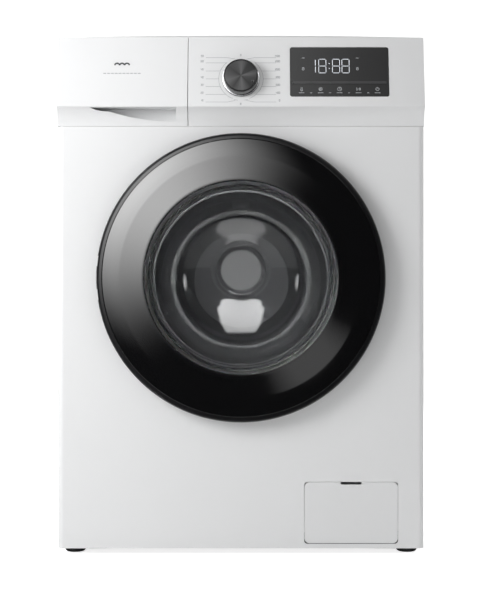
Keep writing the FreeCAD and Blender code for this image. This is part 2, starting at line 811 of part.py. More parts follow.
def drawer_front():
    """The drawer's moulded front with the scooped grip under the crease."""
    wall, right, left = plastic_wall, -drawer_split - part_gap, -half_width
    outer = crowned("drawer_outer", console_section(0, False), left, right, 0)
    inner = crowned("drawer_inner", console_section(1, False), left + wall, right - wall, wall)
    shell = cut("drawer_shell", outer, inner)
    base = box("drawer_floor", (left + 1, front + 1, console_bottom),
               (right - 1, front + worktop_setback - 1, console_bottom + wall))
    scoop_low = console_bottom + 7
    pocket = [
        (grip_left, crease_height - 2),
        (grip_left + 30, crease_height - 8, 60),
        (grip_right - 30, scoop_low + 1, 400),
        (grip_right - 4, scoop_low),
        (grip_right, scoop_low + 4, 4),
        (grip_right, crease_height - 2),
    ]
    scoop = slab("scoop", (0, front + 22, 0), "XZ", pocket, 40)
    cup = slab("scoop_cup", (0, front + 22 + wall, 0), "XZ", [
        (grip_left - 2, crease_height + 2),
        (grip_left - 2, crease_height - 6),
        (grip_left + 30, crease_height - 11),
        (grip_right - 30, scoop_low - 2),
        (grip_right + 3, scoop_low - 2),
        (grip_right + 3, crease_height + 2),
    ], 22 + wall + 4)
    backing = common("scoop_backing", cup, crowned("scoop_limit", console_section(0, False), left, right, 0))
    node("drawer_front", cut("drawer_face", fuse("drawer_whole", shell, base, backing), scoop))


def drawer_tray():
    """The tray: an open box with three compartments and a plate that snaps into the drawer front."""
    near, far = front + worktop_setback - 4, front + worktop_setback + 3 + tray_depth
    wall, top = tray_wall, tray_bottom + tray_height
    outer = box("tray_outer", (tray_left, near, tray_bottom), (tray_right, far, top))
    plate = box("tray_plate", (-half_width + plastic_wall + 0.4, near, console_bottom + plastic_wall + 0.5),
                (-drawer_split - part_gap - plastic_wall - 0.4, near + wall, shell_top + 12))
    bays = []
    width = (tray_right - tray_left - wall * 4) / 3
    for i in range(3):
        x = tray_left + wall + (width + wall) * i
        floor = tray_bottom + wall + (6 if i == 1 else 0)
        bays.append(box(f"bay_{i}", (x, near + wall, floor), (x + width, far - wall, top + 1)))
    spout = box("wash_spout", (tray_left + 20, far - 3, tray_bottom + wall + 4),
                (tray_left + 50, far + 1, top - 20))
    node("drawer_tray",
         group("tray_and_cap", cut("tray", fuse("tray_whole", outer, plate), *bays, spout), siphon_cap()))


def siphon_cap():
    """The cap over the siphon in the middle compartment."""
    width = (tray_right - tray_left - tray_wall * 4) / 3
    left = tray_left + tray_wall * 2 + width + 1
    right = left + width - 2
    far = front + worktop_setback + tray_depth
    low = tray_bottom + tray_wall + 6 + 0.3
    cap = box("cap_block", (left, far - 46, low), (right, far, low + 34))
    hollow = box("cap_hollow", (left + 2, far - 44, low - 1), (right - 2, far - 2, low + 31))
    finger = rod("cap_finger", ((left + right) / 2, far - 30, low + 30), "z", 6, 10)
    finger_hole = rod("cap_finger_hole", ((left + right) / 2, far - 30, low + 26), "z", 4, 20)
    return cut("siphon", fuse("cap_and_grip", cut("cap_shell", cap, hollow), finger), finger_hole)


def dispenser_housing():
    """The box that the drawer slides in, with its outlet to the tub and water inlet at the back."""
    near, far = front + worktop_setback + plastic_wall + part_gap, front + worktop_setback + housing_depth
    wall = plastic_wall
    low = tray_bottom - 4
    outer = box("housing_outer", (tray_left - 4, near, low), (tray_right + 4, far, housing_top + wall))
    inner = box("housing_inner", (tray_left - 1.5, near - 1, low + wall),
                (tray_right + 1.5, far - wall, housing_top))
    spigot_at = (hose_x, hose_y, low - 14)
    spigot = rod("housing_spigot", spigot_at, "z", hose_radius - 3, 16)
    drain = rod("housing_drain", (hose_x, hose_y, low - 20), "z", hose_radius - 5, 30)
    water = rod("housing_water", (inlet_x, far - 1, inlet_height), "y", 9, 14)
    node("dispenser_housing", cut("housing", fuse("housing_whole", outer, spigot, water), inner, drain,
                                  rod("water_bore", (inlet_x, far - 8, inlet_height), "y", 6, 40)))


def display_window():
    """The smoked window, with one long slot for the keys."""
    made = slab("window_plate", crease_line, "XZ",
                rounded(window_left, window_rise, window_left + window_width, window_rise + window_height, 4),
                window_thickness, back=True, **lean)
    slot = slab("key_slot", along_fascia(0, 0, -5), "XZ",
                rounded(keys_left() - 0.3, key_rise - key_height / 2 - 0.3,
                        keys_left() + key_width * 5 + 0.3, key_rise + key_height / 2 + 0.3, 0.6),
                window_thickness + 10, back=True, **lean)
    node("display_window", cut("window", made, slot))


def keys_left():
    return window_left + (window_width - key_width * 5) / 2


def keys():
    """Five long keys in the slot, each on its own travel."""
    for i, name in enumerate(("temperature", "spin", "delay", "start", "power")):
        left = keys_left() + key_width * i + 0.25
        made = slab(f"key_{name}_block", along_fascia(0, 0, -0.8), "XZ",
                    rounded(left, key_rise - key_height / 2, left + key_width - 0.5,
                            key_rise + key_height / 2, 0.8),
                    6.6, back=True, **lean)
        node(f"key_{name}", made)


def control_boards():
    """The display board with its digit block, and the power board in a closed case under the worktop."""
    rise = (window_rise + 6, window_rise + window_height - 6)
    board = slab("board_plate", along_fascia(0, 0, 8), "XZ",
                 rounded(window_left + 6, rise[0], window_left + window_width - 6, rise[1], 2), 1.6,
                 back=True, **lean)
    digits = slab("digit_block", along_fascia(0, 0, 3.3), "XZ",
                  rounded(window_left + 38, window_rise + 40, window_left + 100, window_rise + 70, 1), 4.7,
                  back=True, **lean)
    low = (90, front + 110, shell_top - 46)
    high = (270, front + 250, shell_top - 4)
    case = box("module_case", low, high)
    plug = box("module_plugs", (110, front + 249, shell_top - 36), (190, front + 258, shell_top - 12))
    node("control_boards",
         group("electronics", fuse("display_board", board, digits), fuse("power_module", case, plug)))


def programme_switch():
    """The rotary encoder: its case behind the fascia and its shaft through it."""
    case = slab("switch_case", along_fascia(0, 0, 8), "XZ",
                rounded(-12, knob_rise - 12, 12, knob_rise + 12, 2), 10, back=True, **lean)
    shaft = turned("switch_shaft", along_fascia(0, knob_rise, 0),
                   [(-12, 0), (-12, knob_shaft), (9, knob_shaft), (9, 0)], **lean)
    node("programme_switch", fuse("switch", case, shaft))


def programme_knob():
    """The knob: a skirt, a drafted body and a recess for the metal disc; and the disc with its mark."""
    bore, face, lip = knob_shaft + running_gap, -knob_height, 1.5
    profile = [
        (-0.6, bore),
        (-0.6, knob_skirt),
        (-2.4, knob_skirt),
        (-4, knob_radius + 0.9),
        (face + lip, knob_radius),
        (face, knob_radius - lip),
        (face, knob_radius - lip - 0.8),
        (face + 1, knob_radius - lip - 0.8),
        (face + 1, 0),
        (-13, 0),
        (-13, bore),
    ]
    node("programme_knob", turned("knob_body", along_fascia(0, knob_rise, 0), profile, **lean))
    radius = knob_radius - lip - 1
    disc = turned("disc_blank", along_fascia(0, knob_rise, 0), [
        (face + 1, 0), (face + 1, radius), (face + 0.3, radius), (face + 0.6, radius - 1.5),
        (face + 0.4, 0)], **lean)
    angle = 28
    mark = slab("disc_mark", along_fascia(0, knob_rise, -number(knob_height) - 1), "XZ", mark_square(
        (knob_radius - 7) * math.cos(math.radians(angle)),
        -(knob_radius - 7) * math.sin(math.radians(angle))),
        1.7, back=True, **lean)
    node("knob_disc", cut("disc", disc, mark))


def mark_square(u, v):
    """A small round-cornered dimple round a point."""
    return rounded(u - 1.8, v - 1.8, u + 1.8, v + 1.8, 1.6)


# ---------------------------------------------------------------- door


def door_outer_ring():
    """The glossy front ring: a shallow dome from the rim to the window, with one soft crease."""
    rim, out = door_radius - 9.5, -door_projection
    profile = [
        (out + 14, rim),
        (out + 8, rim - 28, -150),
        (out, window_radius + 3, -190),
        (out + 1, window_radius, -2.4),
        (out + 10, window_radius),
        (out + 10, window_radius + 3),
        (out + 4, window_radius + 4),
        (out + 11.5, rim - 28, 190),
        (out + 17.5, rim - 1, 150),
        (out + 17.5, rim),
    ]
    node("door_outer_ring", turned("ring", door_axis, profile))


def door_bezel():
    """The rim: a narrow front face, a rounded shoulder and the outer wall, cut away for the hinge."""
    out, wall = -door_projection + 15.5, door_radius
    rim = wall - 9.3
    profile = [
        (out + 4.5, rim),
        (out, rim),
        (out + 1.5, wall - 5),
        (out + 10, wall, -9),
        (-9, wall),
        (-5, wall - 4),
        (-5, wall - 5),
        (-9, wall - 3.5),
        (out + 10, wall - 3),
        (out + 5.5, wall - 6.5, 6),
    ]
    ring = turned("rim", door_axis, profile)
    node("door_bezel", cut("bezel", ring, *hinge_pockets("bezel")))


def hinge_pockets(name):
    """Room in the door round the fixed hinge arms, which swing through it, and round the knuckle."""
    x, y, tools = -hinge_reach, front - hinge_stand_off, []
    for side in (-1, 1):
        middle = door_height + side * hinge_arm_height
        sweep = rod(f"{name}_sweep_{side + 1}", (x, y, middle - 8.5), "z", 45, 17)
        limit = box(f"{name}_limit_{side + 1}", (x - 60, y - 8, middle - 20), (x + 60, y + 60, middle + 20))
        tools.append(common(f"{name}_pocket_{side + 1}", sweep, limit))
    return tools


def door_inner_frame():
    """The frame behind the glass: a trough with a seat for the glass, hinge bosses and hook ears."""
    seat = -door_projection + 16.2
    outer = door_radius - 6
    plug = 201
    profile = [
        (seat, window_radius - 1),
        (seat, window_radius + 18),
        (seat + 3, window_radius + 18),
        (seat + 3, window_radius + 2),
        (10, window_radius + 2),
        (10, plug - 3),
        (-6, plug - 3),
        (-6, outer),
        (-3, outer),
        (-3, plug),
        (13, plug - 0.5),
        (13, window_radius - 1),
    ]
    trough = turned("trough", door_axis, profile)
    adds = []
    leaf_back = front - hinge_stand_off + 1.6
    for side in (-1, 1):
        adds.append(rod(f"leaf_boss_{side + 1}", (-leaf_boss_x, leaf_back, door_height + side * 11), "y", 6,
                        front + 11 - leaf_back))
        low = door_height + side * 7.5 - 2.5
        adds.append(box(f"hook_ear_{side + 1}", (hook_reach - 6, front - 4, low),
                        (hook_reach + 6, front + 11, low + 5)))
    hook_pin = rod("hook_pin", (hook_reach, front + 2, door_height - 10), "z", 2, 20)
    x, y = -hinge_reach, front - hinge_stand_off
    knuckle = rod("knuckle_room", (x, y, door_height - 20), "z", 7.5, 40)
    leaf_room = box("leaf_room", (x, y - 2.2, door_height - 19.5),
                    (-leaf_boss_x + 12, y + 1.6, door_height + 19.5))
    slot = box("hook_room", (hook_reach - 9, front + 5, door_height - 4.6),
               (hook_reach + 13, front + 20, door_height + 4.6))
    whole = cut("frame_cut", fuse("frame_whole", trough, *adds), *hinge_pockets("frame"), knuckle,
                leaf_room, slot)
    node("door_inner_frame", fuse("frame", whole, hook_pin))


def door_glass():
    """The glass bowl: a clamped flange, a wall that narrows, and a flat nose set above the middle."""
    flange_y = -door_projection + 10
    sections = (
        # (share of the depth, radius, rise of the centre)
        (flange_y, bowl_radius + 0.5, 0),
        (0, bowl_radius - 1, 0),
        (bowl_depth * 0.3, bowl_radius - 6, 1),
        (bowl_depth * 0.62, bowl_radius * 0.81, nose_offset * 0.3),
        (bowl_depth * 0.86, bowl_radius * 0.56, nose_offset * 0.75),
        (bowl_depth, nose_radius, nose_offset),
    )
    walls = []
    for kind, inset, start in (("bowl", 0, 0), ("hollow", glass_wall, -20)):
        rings = []
        for i, (deep, radius, rise) in enumerate(sections):
            ring = doc.addObject("Part::Circle", f"{kind}_ring_{i}")
            depth = deep + (start if i == 0 else 0) - (inset if i == len(sections) - 1 else 0)
            place(ring, (0, front + depth, door_height + rise), FreeCAD.Rotation(AXES["x"], -90))
            bind(ring, "Radius", radius - inset)
            rings.append(ring)
        loft = doc.addObject("Part::Loft", kind + "_loft")
        loft.Sections, loft.Solid, loft.Ruled = rings, True, False
        walls.append(loft)
    flange = turned("glass_flange", door_axis, [
        (flange_y, bowl_radius - 3), (flange_y, bowl_radius + 18), (flange_y + 6, bowl_radius + 18),
        (flange_y + 6, bowl_radius - 3)])
    node("door_glass", cut("glass", fuse("glass_whole", walls[0], flange), walls[1]))


def hinge_bracket():
    """The fixed half of the hinge: a plate behind the recess, two swan-neck arms and the pin."""
    x, y, arm = -hinge_reach, front - hinge_stand_off, 14
    rear = front + recess_depth + sheet_wall
    plate = box("hinge_plate", (-hinge_foot_x - 2, rear, door_height - 45),
                (-hinge_foot_x + 18, rear + 3, door_height + 45))
    pieces = [plate]
    for side in (-1, 1):
        low = door_height + side * hinge_arm_height - arm / 2
        shape = [
            (-hinge_foot_x, rear + 1),
            (-hinge_foot_x, front - 4),
            (x - 5.5, y + 1),
            (x, y - 5.5, 5.5 * 1.1),
            (-hinge_foot_x + 9, front - 8),
            (-hinge_foot_x + 9, rear + 1),
        ]
        pieces.append(slab(f"swan_neck_{side + 1}", (0, 0, low), "XY", shape, arm))
        pieces.append(rod(f"fixed_knuckle_{side + 1}", (x, y, low), "z", 5.5, arm))
    pin = rod("hinge_pin", (x, y, door_height - hinge_arm_height - arm / 2), "z", hinge_pin_radius,
              hinge_arm_height * 2 + arm)
    node("hinge_bracket", fuse("fixed_hinge", *pieces, pin))


def hinge_leaf():
    """The moving half of the hinge: a knuckle round the pin and a leaf screwed to the inner frame."""
    x, y, half = -hinge_reach, front - hinge_stand_off, 19.4
    knuckle = rod("moving_knuckle", (x, y, door_height - half), "z", 5.5, 2 * half)
    leaf = box("leaf", (x, y - 1.6, door_height - half + 1),
               (-leaf_boss_x + 10, y + 1.6, door_height + half - 1))
    bore = rod("knuckle_bore", (x, y, door_height - half - 1), "z", hinge_pin_radius + running_gap,
               2 * half + 2)
    screws = []
    for side in (-1, 1):
        screws.append(turned(f"leaf_screw_{side + 1}", (-leaf_boss_x, y - 1.6, door_height + side * 11),
                             [(0, 0), (0, 5), (-1.6, 4), (-2.4, 2.5), (-2.4, 0)]))
    node("hinge_leaf",
         fuse("leaf_with_screws", cut("moving_hinge", fuse("leaf_whole", knuckle, leaf), bore), *screws))


def latch_hook():
    """The sprung hook that the door lock catches."""
    x, y = hook_reach, front + 2
    shape = [
        (x - 4, y - 4),
        (x + 4, y - 4),
        (x + 3, y + 20),
        (x + 3, y + 28),
        (x + 12, y + 30),
        (x + 6, y + 38),
        (x, y + 39),
        (x - 3, y + 34),
        (x - 3, y + 10),
    ]
    made = slab("hook_plate", (0, 0, door_height - 4), "XY", shape, 8, holes=[(x, y, 2 + running_gap)])
    node("latch_hook", made)


def door_lock():
    """The interlock behind the recess, with the pocket that the hook enters."""
    rear = front + recess_depth + sheet_wall + 0.3
    low_x, high_x = hook_reach - 12.5, hook_reach + 34
    case = box("lock_case", (low_x, rear, door_height - 42), (high_x, rear + 30, door_height + 42))
    pocket = box("lock_pocket", (hook_reach - 11, rear - 1, door_height - 8),
                 (hook_reach + 17, rear + 27, door_height + 8))
    round_ = rod("lock_collar_room", (0, rear - 5, door_height), "y", collar_radius + sheet_wall + 0.3, 60)
    plug = box("lock_plug", (high_x - 1, rear + 5, door_height - 14),
               (high_x + 8, rear + 20, door_height + 14))
    node("door_lock", fuse("lock", cut("lock_body", case, pocket, round_), plug))


def door_gasket():
    """The rubber bellows between the front panel's collar and the tub's mouth."""
    outer = collar_radius - 0.3
    sleeve = tub_opening + 3.2
    tail = tub_front_face - 2
    start = recess_depth + 1.5
    profile = [
        (start, outer),
        (start + 12.5, outer),
        (start + 20.5, outer - 8.7),
        (tail - 32, outer - 10.7),
        (tail - 24, sleeve + 2.5),
        (tail, sleeve + 2.5),
        (tail, sleeve),
        (tail - 22, sleeve),
        (tail - 30.5, outer - 13.4),
        (start + 19, outer - 11.4),
        (start + 11.1, outer - 2.5),
        (start + 3.5, outer - 2.5),
        (start + 3.5, outer - 10.7),
        (start + 10, bowl_radius + 1.8),
        (start + 8, bowl_radius + 0.4),
        (start, outer - 11.7),
    ]
    node("door_gasket", turned("gasket", door_axis, profile))


# ---------------------------------------------------------------- tub and drum


def tub_front():
    """The front half of the plastic tub, with its mouth, flange and damper ears."""
    face, wall, outer = tub_front_face, tub_wall, tub_radius
    joint = face + tub_length / 2
    shell = turned("tub_front_shell", door_axis, [
        (face - 14, tub_opening),
        (face - 14, tub_opening + 3),
        (face, tub_opening + 3),
        (face, outer - 8),
        (face + 8, outer, -8),
        (joint - 6, outer),
        (joint - 6, outer + 10),
        (joint, outer + 10),
        (joint, outer - wall),
        (face + 8, outer - wall),
        (face + wall, outer - 8, 4),
        (face + wall, tub_opening),
    ])
    ears = []
    for side in (-1, 1):
        middle = side * damper_top_x
        for i, (y0, y1) in enumerate(((-20, -damper_eye / 2 - 0.5), (damper_eye / 2 + 0.5, 18))):
            ears.append(box(f"tub_ear_{side + 1}_{i}", (middle - 9, damper_y + y0, damper_top_z - 9),
                            (middle + 9, damper_y + y1, door_height - tub_radius * 0.3)))
        ears.append(rod(f"tub_pin_{side + 1}", (middle, damper_y - 18, damper_top_z), "y", damper_pin, 34))
    inside = rod("tub_front_inside", (0, front + face + wall, door_height), "y", outer - wall, tub_length)
    legs = []
    for side in (-1, 1):
        legs.append(rod(f"leg_hole_{side + 1}",
                        (side * heater_x, front + face - 5, door_height - heater_drop), "y",
                        heater_wire, 20))
    lower = cut("tub_ears", fuse("tub_ear_blocks", *ears), inside)
    node("tub_front", cut("tub_front_half", fuse("tub_front_whole", shell, lower), *legs))


def tub_rear():
    """The rear half of the tub with its bearing hub, spring ears and motor lugs."""
    face, wall, outer = tub_front_face, tub_wall, tub_radius
    joint, end = face + tub_length / 2, face + tub_length
    shell = turned("tub_rear_shell", door_axis, [
        (joint + 0.3, outer - wall),
        (joint + 0.3, outer + 10),
        (joint + 6, outer + 10),
        (joint + 6, outer),
        (end - 8, outer),
        (end, outer - 8, -8),
        (end, 70),
        (end + 42, 46),
        (end + 42, rear_bearing),
        (end + 26, rear_bearing),
        (end + 26, rear_bearing - 5),
        (end + 10, rear_bearing - 5),
        (end + 10, front_bearing),
        (end - 8, front_bearing),
        (end - 8, front_bearing + 10),
        (end - wall, front_bearing + 14),
        (end - wall, outer - 8),
        (end - 8, outer - wall, 4),
    ])
    adds = []
    for side in (-1, 1):
        low = (side * spring_x - 12, spring_y - 10, door_height + tub_radius * 0.4)
        adds.append(box(f"spring_ear_{side + 1}", low,
                        (side * spring_x + 12, spring_y + 10, spring_foot - 2)))
    lug_top = door_height - tub_radius + 14
    for side in (-1, 1):
        adds.append(box(f"motor_lug_{side + 1}",
                        (side * 46 - 9, motor_y + 14, door_height - motor_drop + motor_radius - 20),
                        (side * 46 + 9, motor_y + 44, lug_top)))
    ribs = []
    for i in range(12):
        ribs.append(slab(f"tub_rib_{i}", (0, front + end + 12, door_height), "XZ",
                         [(-2, 64), (-2, tub_radius - 12), (2, tub_radius - 12), (2, 64)], 13,
                         turn=FreeCAD.Rotation(AXES["y"], 30 * i)))
    inside = rod("tub_rear_inside", (0, front + joint, door_height), "y", outer - wall, end - joint - 10)
    node("tub_rear", cut("tub_rear_half", fuse("tub_rear_whole", shell, *adds, *ribs), inside,
                         rod("motor_room", (0, motor_y - 5, door_height - motor_drop), "y",
                             motor_radius + 0.4, 200)))


def drum():
    """The stainless drum: shell with rolled front, back disc, three lifters, spider and shaft."""
    start, end = tub_front_face + 14, tub_front_face + tub_length - 24
    outer, thin, mouth = drum_radius, drum_steel, drum_opening
    shell = turned("drum_wall", door_axis, [
        (start - 6, mouth),
        (start - 6, mouth + thin),
        (start, mouth + 8, 12),
        (start, outer - 10),
        (start + 10, outer, -10),
        (end, outer),
        (end, outer - thin),
        (start + 10, outer - thin),
        (start + thin, outer - 10, 9),
        (start + thin, mouth + 8),
        (start - 5, mouth, -11),
    ])
    node("drum_shell", shell)
    disc = turned("drum_disc", door_axis, [
        (end - 10, 0),
        (end - 10, 90),
        (end - 3, 130),
        (end - 3, outer - thin),
        (end - 3 + thin, outer - thin),
        (end - 3 + thin, 130),
        (end - 10 + thin, 90),
        (end - 10 + thin, 0),
    ])
    node("drum_back", disc)
    lifters = []
    near, length = front + start + 16, end - start - 34
    foot = root((outer - thin) * (outer - thin) - 30 * 30) - 0.2
    shape = [(-30, -foot), (-14, -foot + 40, -150), (14, -foot + 40, -16), (30, -foot, -150)]
    first = slab("lifter_0", (0, near + length, door_height), "XZ", shape, length)
    lifters.append(first)
    for i in (1, 2):
        lifters.append(slab(f"lifter_{i}", (0, near + length, door_height), "XZ", shape, length,
                            turn=FreeCAD.Rotation(AXES["y"], 120 * i)))
    node("drum_lifters", group("lifters", *lifters))
    hub = turned("spider_hub", (0, front, door_height), [
        (end + 0.5, 0),
        (end + 0.5, 46),
        (end + 12, 42),
        (end + 12, shaft_radius - running_gap),
        (end + 36, shaft_radius - running_gap),
        (end + 36, shaft_radius - 2.5 - running_gap),
        (end + 90, shaft_radius - 2.5 - running_gap),
        (end + 90, 0),
    ])
    arms = [hub]
    for i in range(3):
        arms.append(slab(f"spider_arm_{i}", (0, front + end + 12, door_height), "XZ",
                         [(-34, 0), (-16, drum_radius - 14), (16, drum_radius - 14), (34, 0)], 11.5,
                         turn=FreeCAD.Rotation(AXES["y"], 60 + 120 * i)))
    node("drum_spider", fuse("spider", *arms))


def drum_bearings():
    """Two ball bearings and the shaft seal, pressed into the tub's hub."""
    end = tub_front_face + tub_length
    rings = []
    for name, start, length, outer, inner in (("front", end - 6, 16, front_bearing, shaft_radius),
                                               ("rear", end + 26, 15, rear_bearing, shaft_radius - 2.5)):
        middle = (outer + inner) / 2
        rings.append(turned(f"{name}_bearing", door_axis, [
            (start, inner),
            (start, middle - 3),
            (start + 1.2, middle - 2.6),
            (start + 1.2, middle + 2.6),
            (start, middle + 3),
            (start, outer),
            (start + length, outer),
            (start + length, middle + 3),
            (start + length - 1.2, middle + 2.6),
            (start + length - 1.2, middle - 2.6),
            (start + length, middle - 3),
            (start + length, inner),
        ]))
    node("drum_bearings", group("bearings", *rings))


def drum_pulley():
    """The aluminium pulley: grooved rim, six spokes and a hub with its bolt."""
    middle = belt_line()
    groove = pulley_radius - belt_thickness
    width = belt_width / 2 + 0.6
    rim = turned("pulley_rim", door_axis, [
        (middle - width - 2, groove - 6),
        (middle - width - 2, pulley_radius),
        (middle - width, pulley_radius),
        (middle - width, groove),
        (middle + width, groove),
        (middle + width, pulley_radius),
        (middle + width + 2, pulley_radius),
        (middle + width + 2, groove - 6),
    ])
    hub = turned("pulley_hub", door_axis, [
        (middle - 10, shaft_radius - 2.5),
        (middle - 10, 24),
        (middle + 8, 24),
        (middle + 8, shaft_radius - 2.5),
    ])
    bolt = turned("pulley_bolt", door_axis, [
        (middle + 8.5, 0), (middle + 8.5, 14), (middle + 11, 14), (middle + 11, 9), (middle + 17, 9),
        (middle + 17, 0)])
    spokes = []
    for i in range(6):
        spokes.append(slab(f"spoke_{i}", (0, front + middle + 3, door_height), "XZ",
                           [(-9, 20), (-6, groove - 4), (6, groove - 4), (9, 20)], 6,
                           turn=FreeCAD.Rotation(AXES["y"], 60 * i)))
    node("drum_pulley", group("pulley_and_bolt", fuse("pulley", rim, hub, *spokes), bolt))


def belt_line():
    """Where the belt runs, measured back from the front panel's face."""
    return tub_front_face + tub_length + 58


def drive_belt():
    """The belt: two straight runs and two wraps, as one closed band."""
    big, small = pulley_radius - belt_thickness + 0.4, motor_pulley_radius - belt_thickness + 0.4
    drawn = body("belt", (0, front + belt_line() + belt_width / 2, door_height))
    drawing = sketch(drawn, "XZ")
    for thick in (0, belt_thickness):
        a, b = big + thick, small + thick
        fall = (a - b) / motor_drop
        side = root(1 - fall * fall)
        draw(drawing, [
            (-a * side, -a * fall),
            (-b * side, -motor_drop - b * fall),
            (b * side, -motor_drop - b * fall, b),
            (a * side, -a * fall),
            (0, a, a),
            (-a * side, -a * fall, a),
        ][1:] )
    pad(drawn, drawing, belt_width)
    node("drive_belt", drawn)


def motor():
    """The motor's case with end caps and the brackets that reach the tub's lugs; and its pulley."""
    at = (0, motor_y, door_height - motor_drop)
    length = motor_length
    case = turned("motor_case", at, [
        (0, 12),
        (0, motor_radius - 14),
        (10, motor_radius - 4),
        (22, motor_radius - 4),
        (22, motor_radius),
        (length - 26, motor_radius),
        (length - 26, motor_radius - 4),
        (length - 12, motor_radius - 4),
        (length, motor_radius - 16),
        (length, 12),
    ])
    slots = []
    for i in range(10):
        slots.append(slab(f"motor_slot_{i}", (0, motor_y + length - 30, at[2]), "XZ",
                          [(-4, motor_radius - 3), (-4, motor_radius + 5), (4, motor_radius + 5),
                           (4, motor_radius - 3)],
                          length - 60, turn=FreeCAD.Rotation(AXES["y"], 36 * i)))
    node("motor", cut("motor_slotted", case, *slots))
    middle, groove = belt_line() - (motor_y - front), motor_pulley_radius - belt_thickness
    width = belt_width / 2 + 0.6
    shaft = 12 - running_gap * 4
    node("motor_pulley", turned("motor_rotor", at, [
        (-4, 0),
        (-4, shaft - 4),
        (4, shaft - 4),
        (4, shaft),
        (length - 6, shaft),
        (length - 6, shaft - 4),
        (middle - width - 2, shaft - 4),
        (middle - width - 2, motor_pulley_radius),
        (middle - width, motor_pulley_radius),
        (middle - width, groove),
        (middle + width, groove),
        (middle + width, motor_pulley_radius),
        (middle + width + 2, motor_pulley_radius),
        (middle + width + 2, 0),
    ]))


def counterweights():
    """The cast C-shaped weight on the tub's front and the block on its top."""
    face = tub_front_face
    ring = turned("front_weight", door_axis, [
        (face - 34, tub_opening + 26), (face - 34, tub_radius - 14), (face - 0.5, tub_radius - 14),
        (face - 0.5, tub_opening + 26)])
    gap = box("weight_gap", (-58, front + face - 50, door_height - tub_radius - 20),
              (58, front + face + 10, door_height - 100))
    top = box("top_weight_block", (-82, front + 120, door_height + 200),
              (82, front + 270, door_height + tub_radius + 52))
    bed = rod("top_weight_bed", (0, front + 100, door_height), "y", tub_radius + 10.5, 200)
    node("counterweights",
         group("weights", cut("front_weight_cast", ring, gap), cut("top_weight_cast", top, bed)))


def heating_element():
    """The tube heater under the drum: two legs, a bend, and the plate with its terminals."""
    y, z = front + tub_front_face, door_height - heater_drop
    legs = []
    for side in (-1, 1):
        legs.append(rod(f"heater_leg_{side + 1}", (side * heater_x, y - 16, z), "y", heater_wire, 216))
    bend = half_torus("heater_bend", (0, y + 200, z), heater_x, heater_wire)
    plate = box("heater_plate", (-34, y - 5, z - 9), (34, y - 0.1, z + 9))
    node("heating_element", fuse("heater", *legs, bend, plate))


# ---------------------------------------------------------------- suspension, water and drain


def suspension_springs():
    """The two springs that carry the tub, each as the tube that its coils fill."""
    made = []
    for side in (-1, 1):
        low, high = spring_foot - 2, shell_top - 16
        coil = rod(f"coil_{side + 1}", (side * spring_x, spring_y, low), "z", coil_radius, high - low)
        core = rod(f"coil_core_{side + 1}", (side * spring_x, spring_y, low - 1), "z", 9, high - low + 2)
        made.append(cut(f"spring_{side + 1}", coil, core))
    node("suspension_springs", group("springs", *made))


def dampers():
    """Two friction dampers: a cylinder pinned to the base and a rod pinned to the tub."""
    run_x, run_z = damper_base_x - damper_top_x, damper_top_z - damper_base_z
    length = root(run_x * run_x + run_z * run_z)
    eye, width = damper_pin + 5, damper_eye
    for name, side in (("left", -1), ("right", 1)):
        lean_angle = math.degrees(math.atan2(run_x.value, run_z.value))
        turn = FreeCAD.Rotation(AXES["y"], -side * lean_angle)
        foot = (side * damper_base_x, damper_y, damper_base_z)
        outer = upright(f"damper_tube_{name}", foot, [
            (0, eye - 2), (9, eye - 2), (9, eye + 6), (13, eye + 6), (14, eye + 9), (14, length - 64),
            (12, length - 60), (6.8, length - 60), (6.8, eye + 14), (0, eye + 14)])
        place(outer, foot, turn)
        ring = rod(f"damper_foot_{name}", (foot[0], foot[1] - width / 2, foot[2]), "y", eye, width)
        bore = rod(f"damper_foot_bore_{name}", (foot[0], foot[1] - 30, foot[2]), "y",
                   damper_pin + running_gap, 60)
        node(f"damper_cylinder_{name}",
             cut(f"damper_low_{name}", fuse(f"damper_low_whole_{name}", outer, ring), bore))
        head = (side * damper_top_x, damper_y, damper_top_z)
        stem = upright(f"damper_stem_{name}", head, [
            (0, -(length - 62)), (6, -(length - 62)), (6, -(eye - 2)), (0, -(eye - 2))])
        place(stem, head, turn)
        ring = rod(f"damper_head_{name}", (head[0], head[1] - width / 2, head[2]), "y", eye, width)
        bore = rod(f"damper_head_bore_{name}", (head[0], head[1] - 30, head[2]), "y",
                   damper_pin + running_gap, 60)
        node(f"damper_rod_{name}",
             cut(f"damper_high_{name}", fuse(f"damper_high_whole_{name}", stem, ring), bore))


def filter_flap():
    """The service flap: a plate flush with the panel, on two hinge barrels along its lower edge."""
    left, right, low = flap_left, flap_left + flap_width, flap_bottom
    plate = slab("flap_plate", (0, front + 0.3 + flap_thickness, 0), "XZ",
                 rounded(left, low, right, low + flap_height, 8), flap_thickness)
    middle = left + flap_width / 2
    notch = slab("flap_notch", (0, front + 5, 0), "XZ",
                 rounded(middle - 17, low + flap_height - 4, middle + 17, low + flap_height + 6, 1.5), 8)
    barrels = []
    for i, x in enumerate((left + 12, right - 24)):
        barrels.append(rod(f"flap_barrel_{i}", (x, flap_axis_y, flap_axis_z), "x", 2.6, 12))
    bore = rod("flap_bore", (left, flap_axis_y, flap_axis_z), "x", 1.5, flap_width)
    node("filter_flap", cut("flap", fuse("flap_whole", plate, *barrels), notch, bore))


flap_axis_y, flap_axis_z = front + 3.4, flap_bottom + 5.8


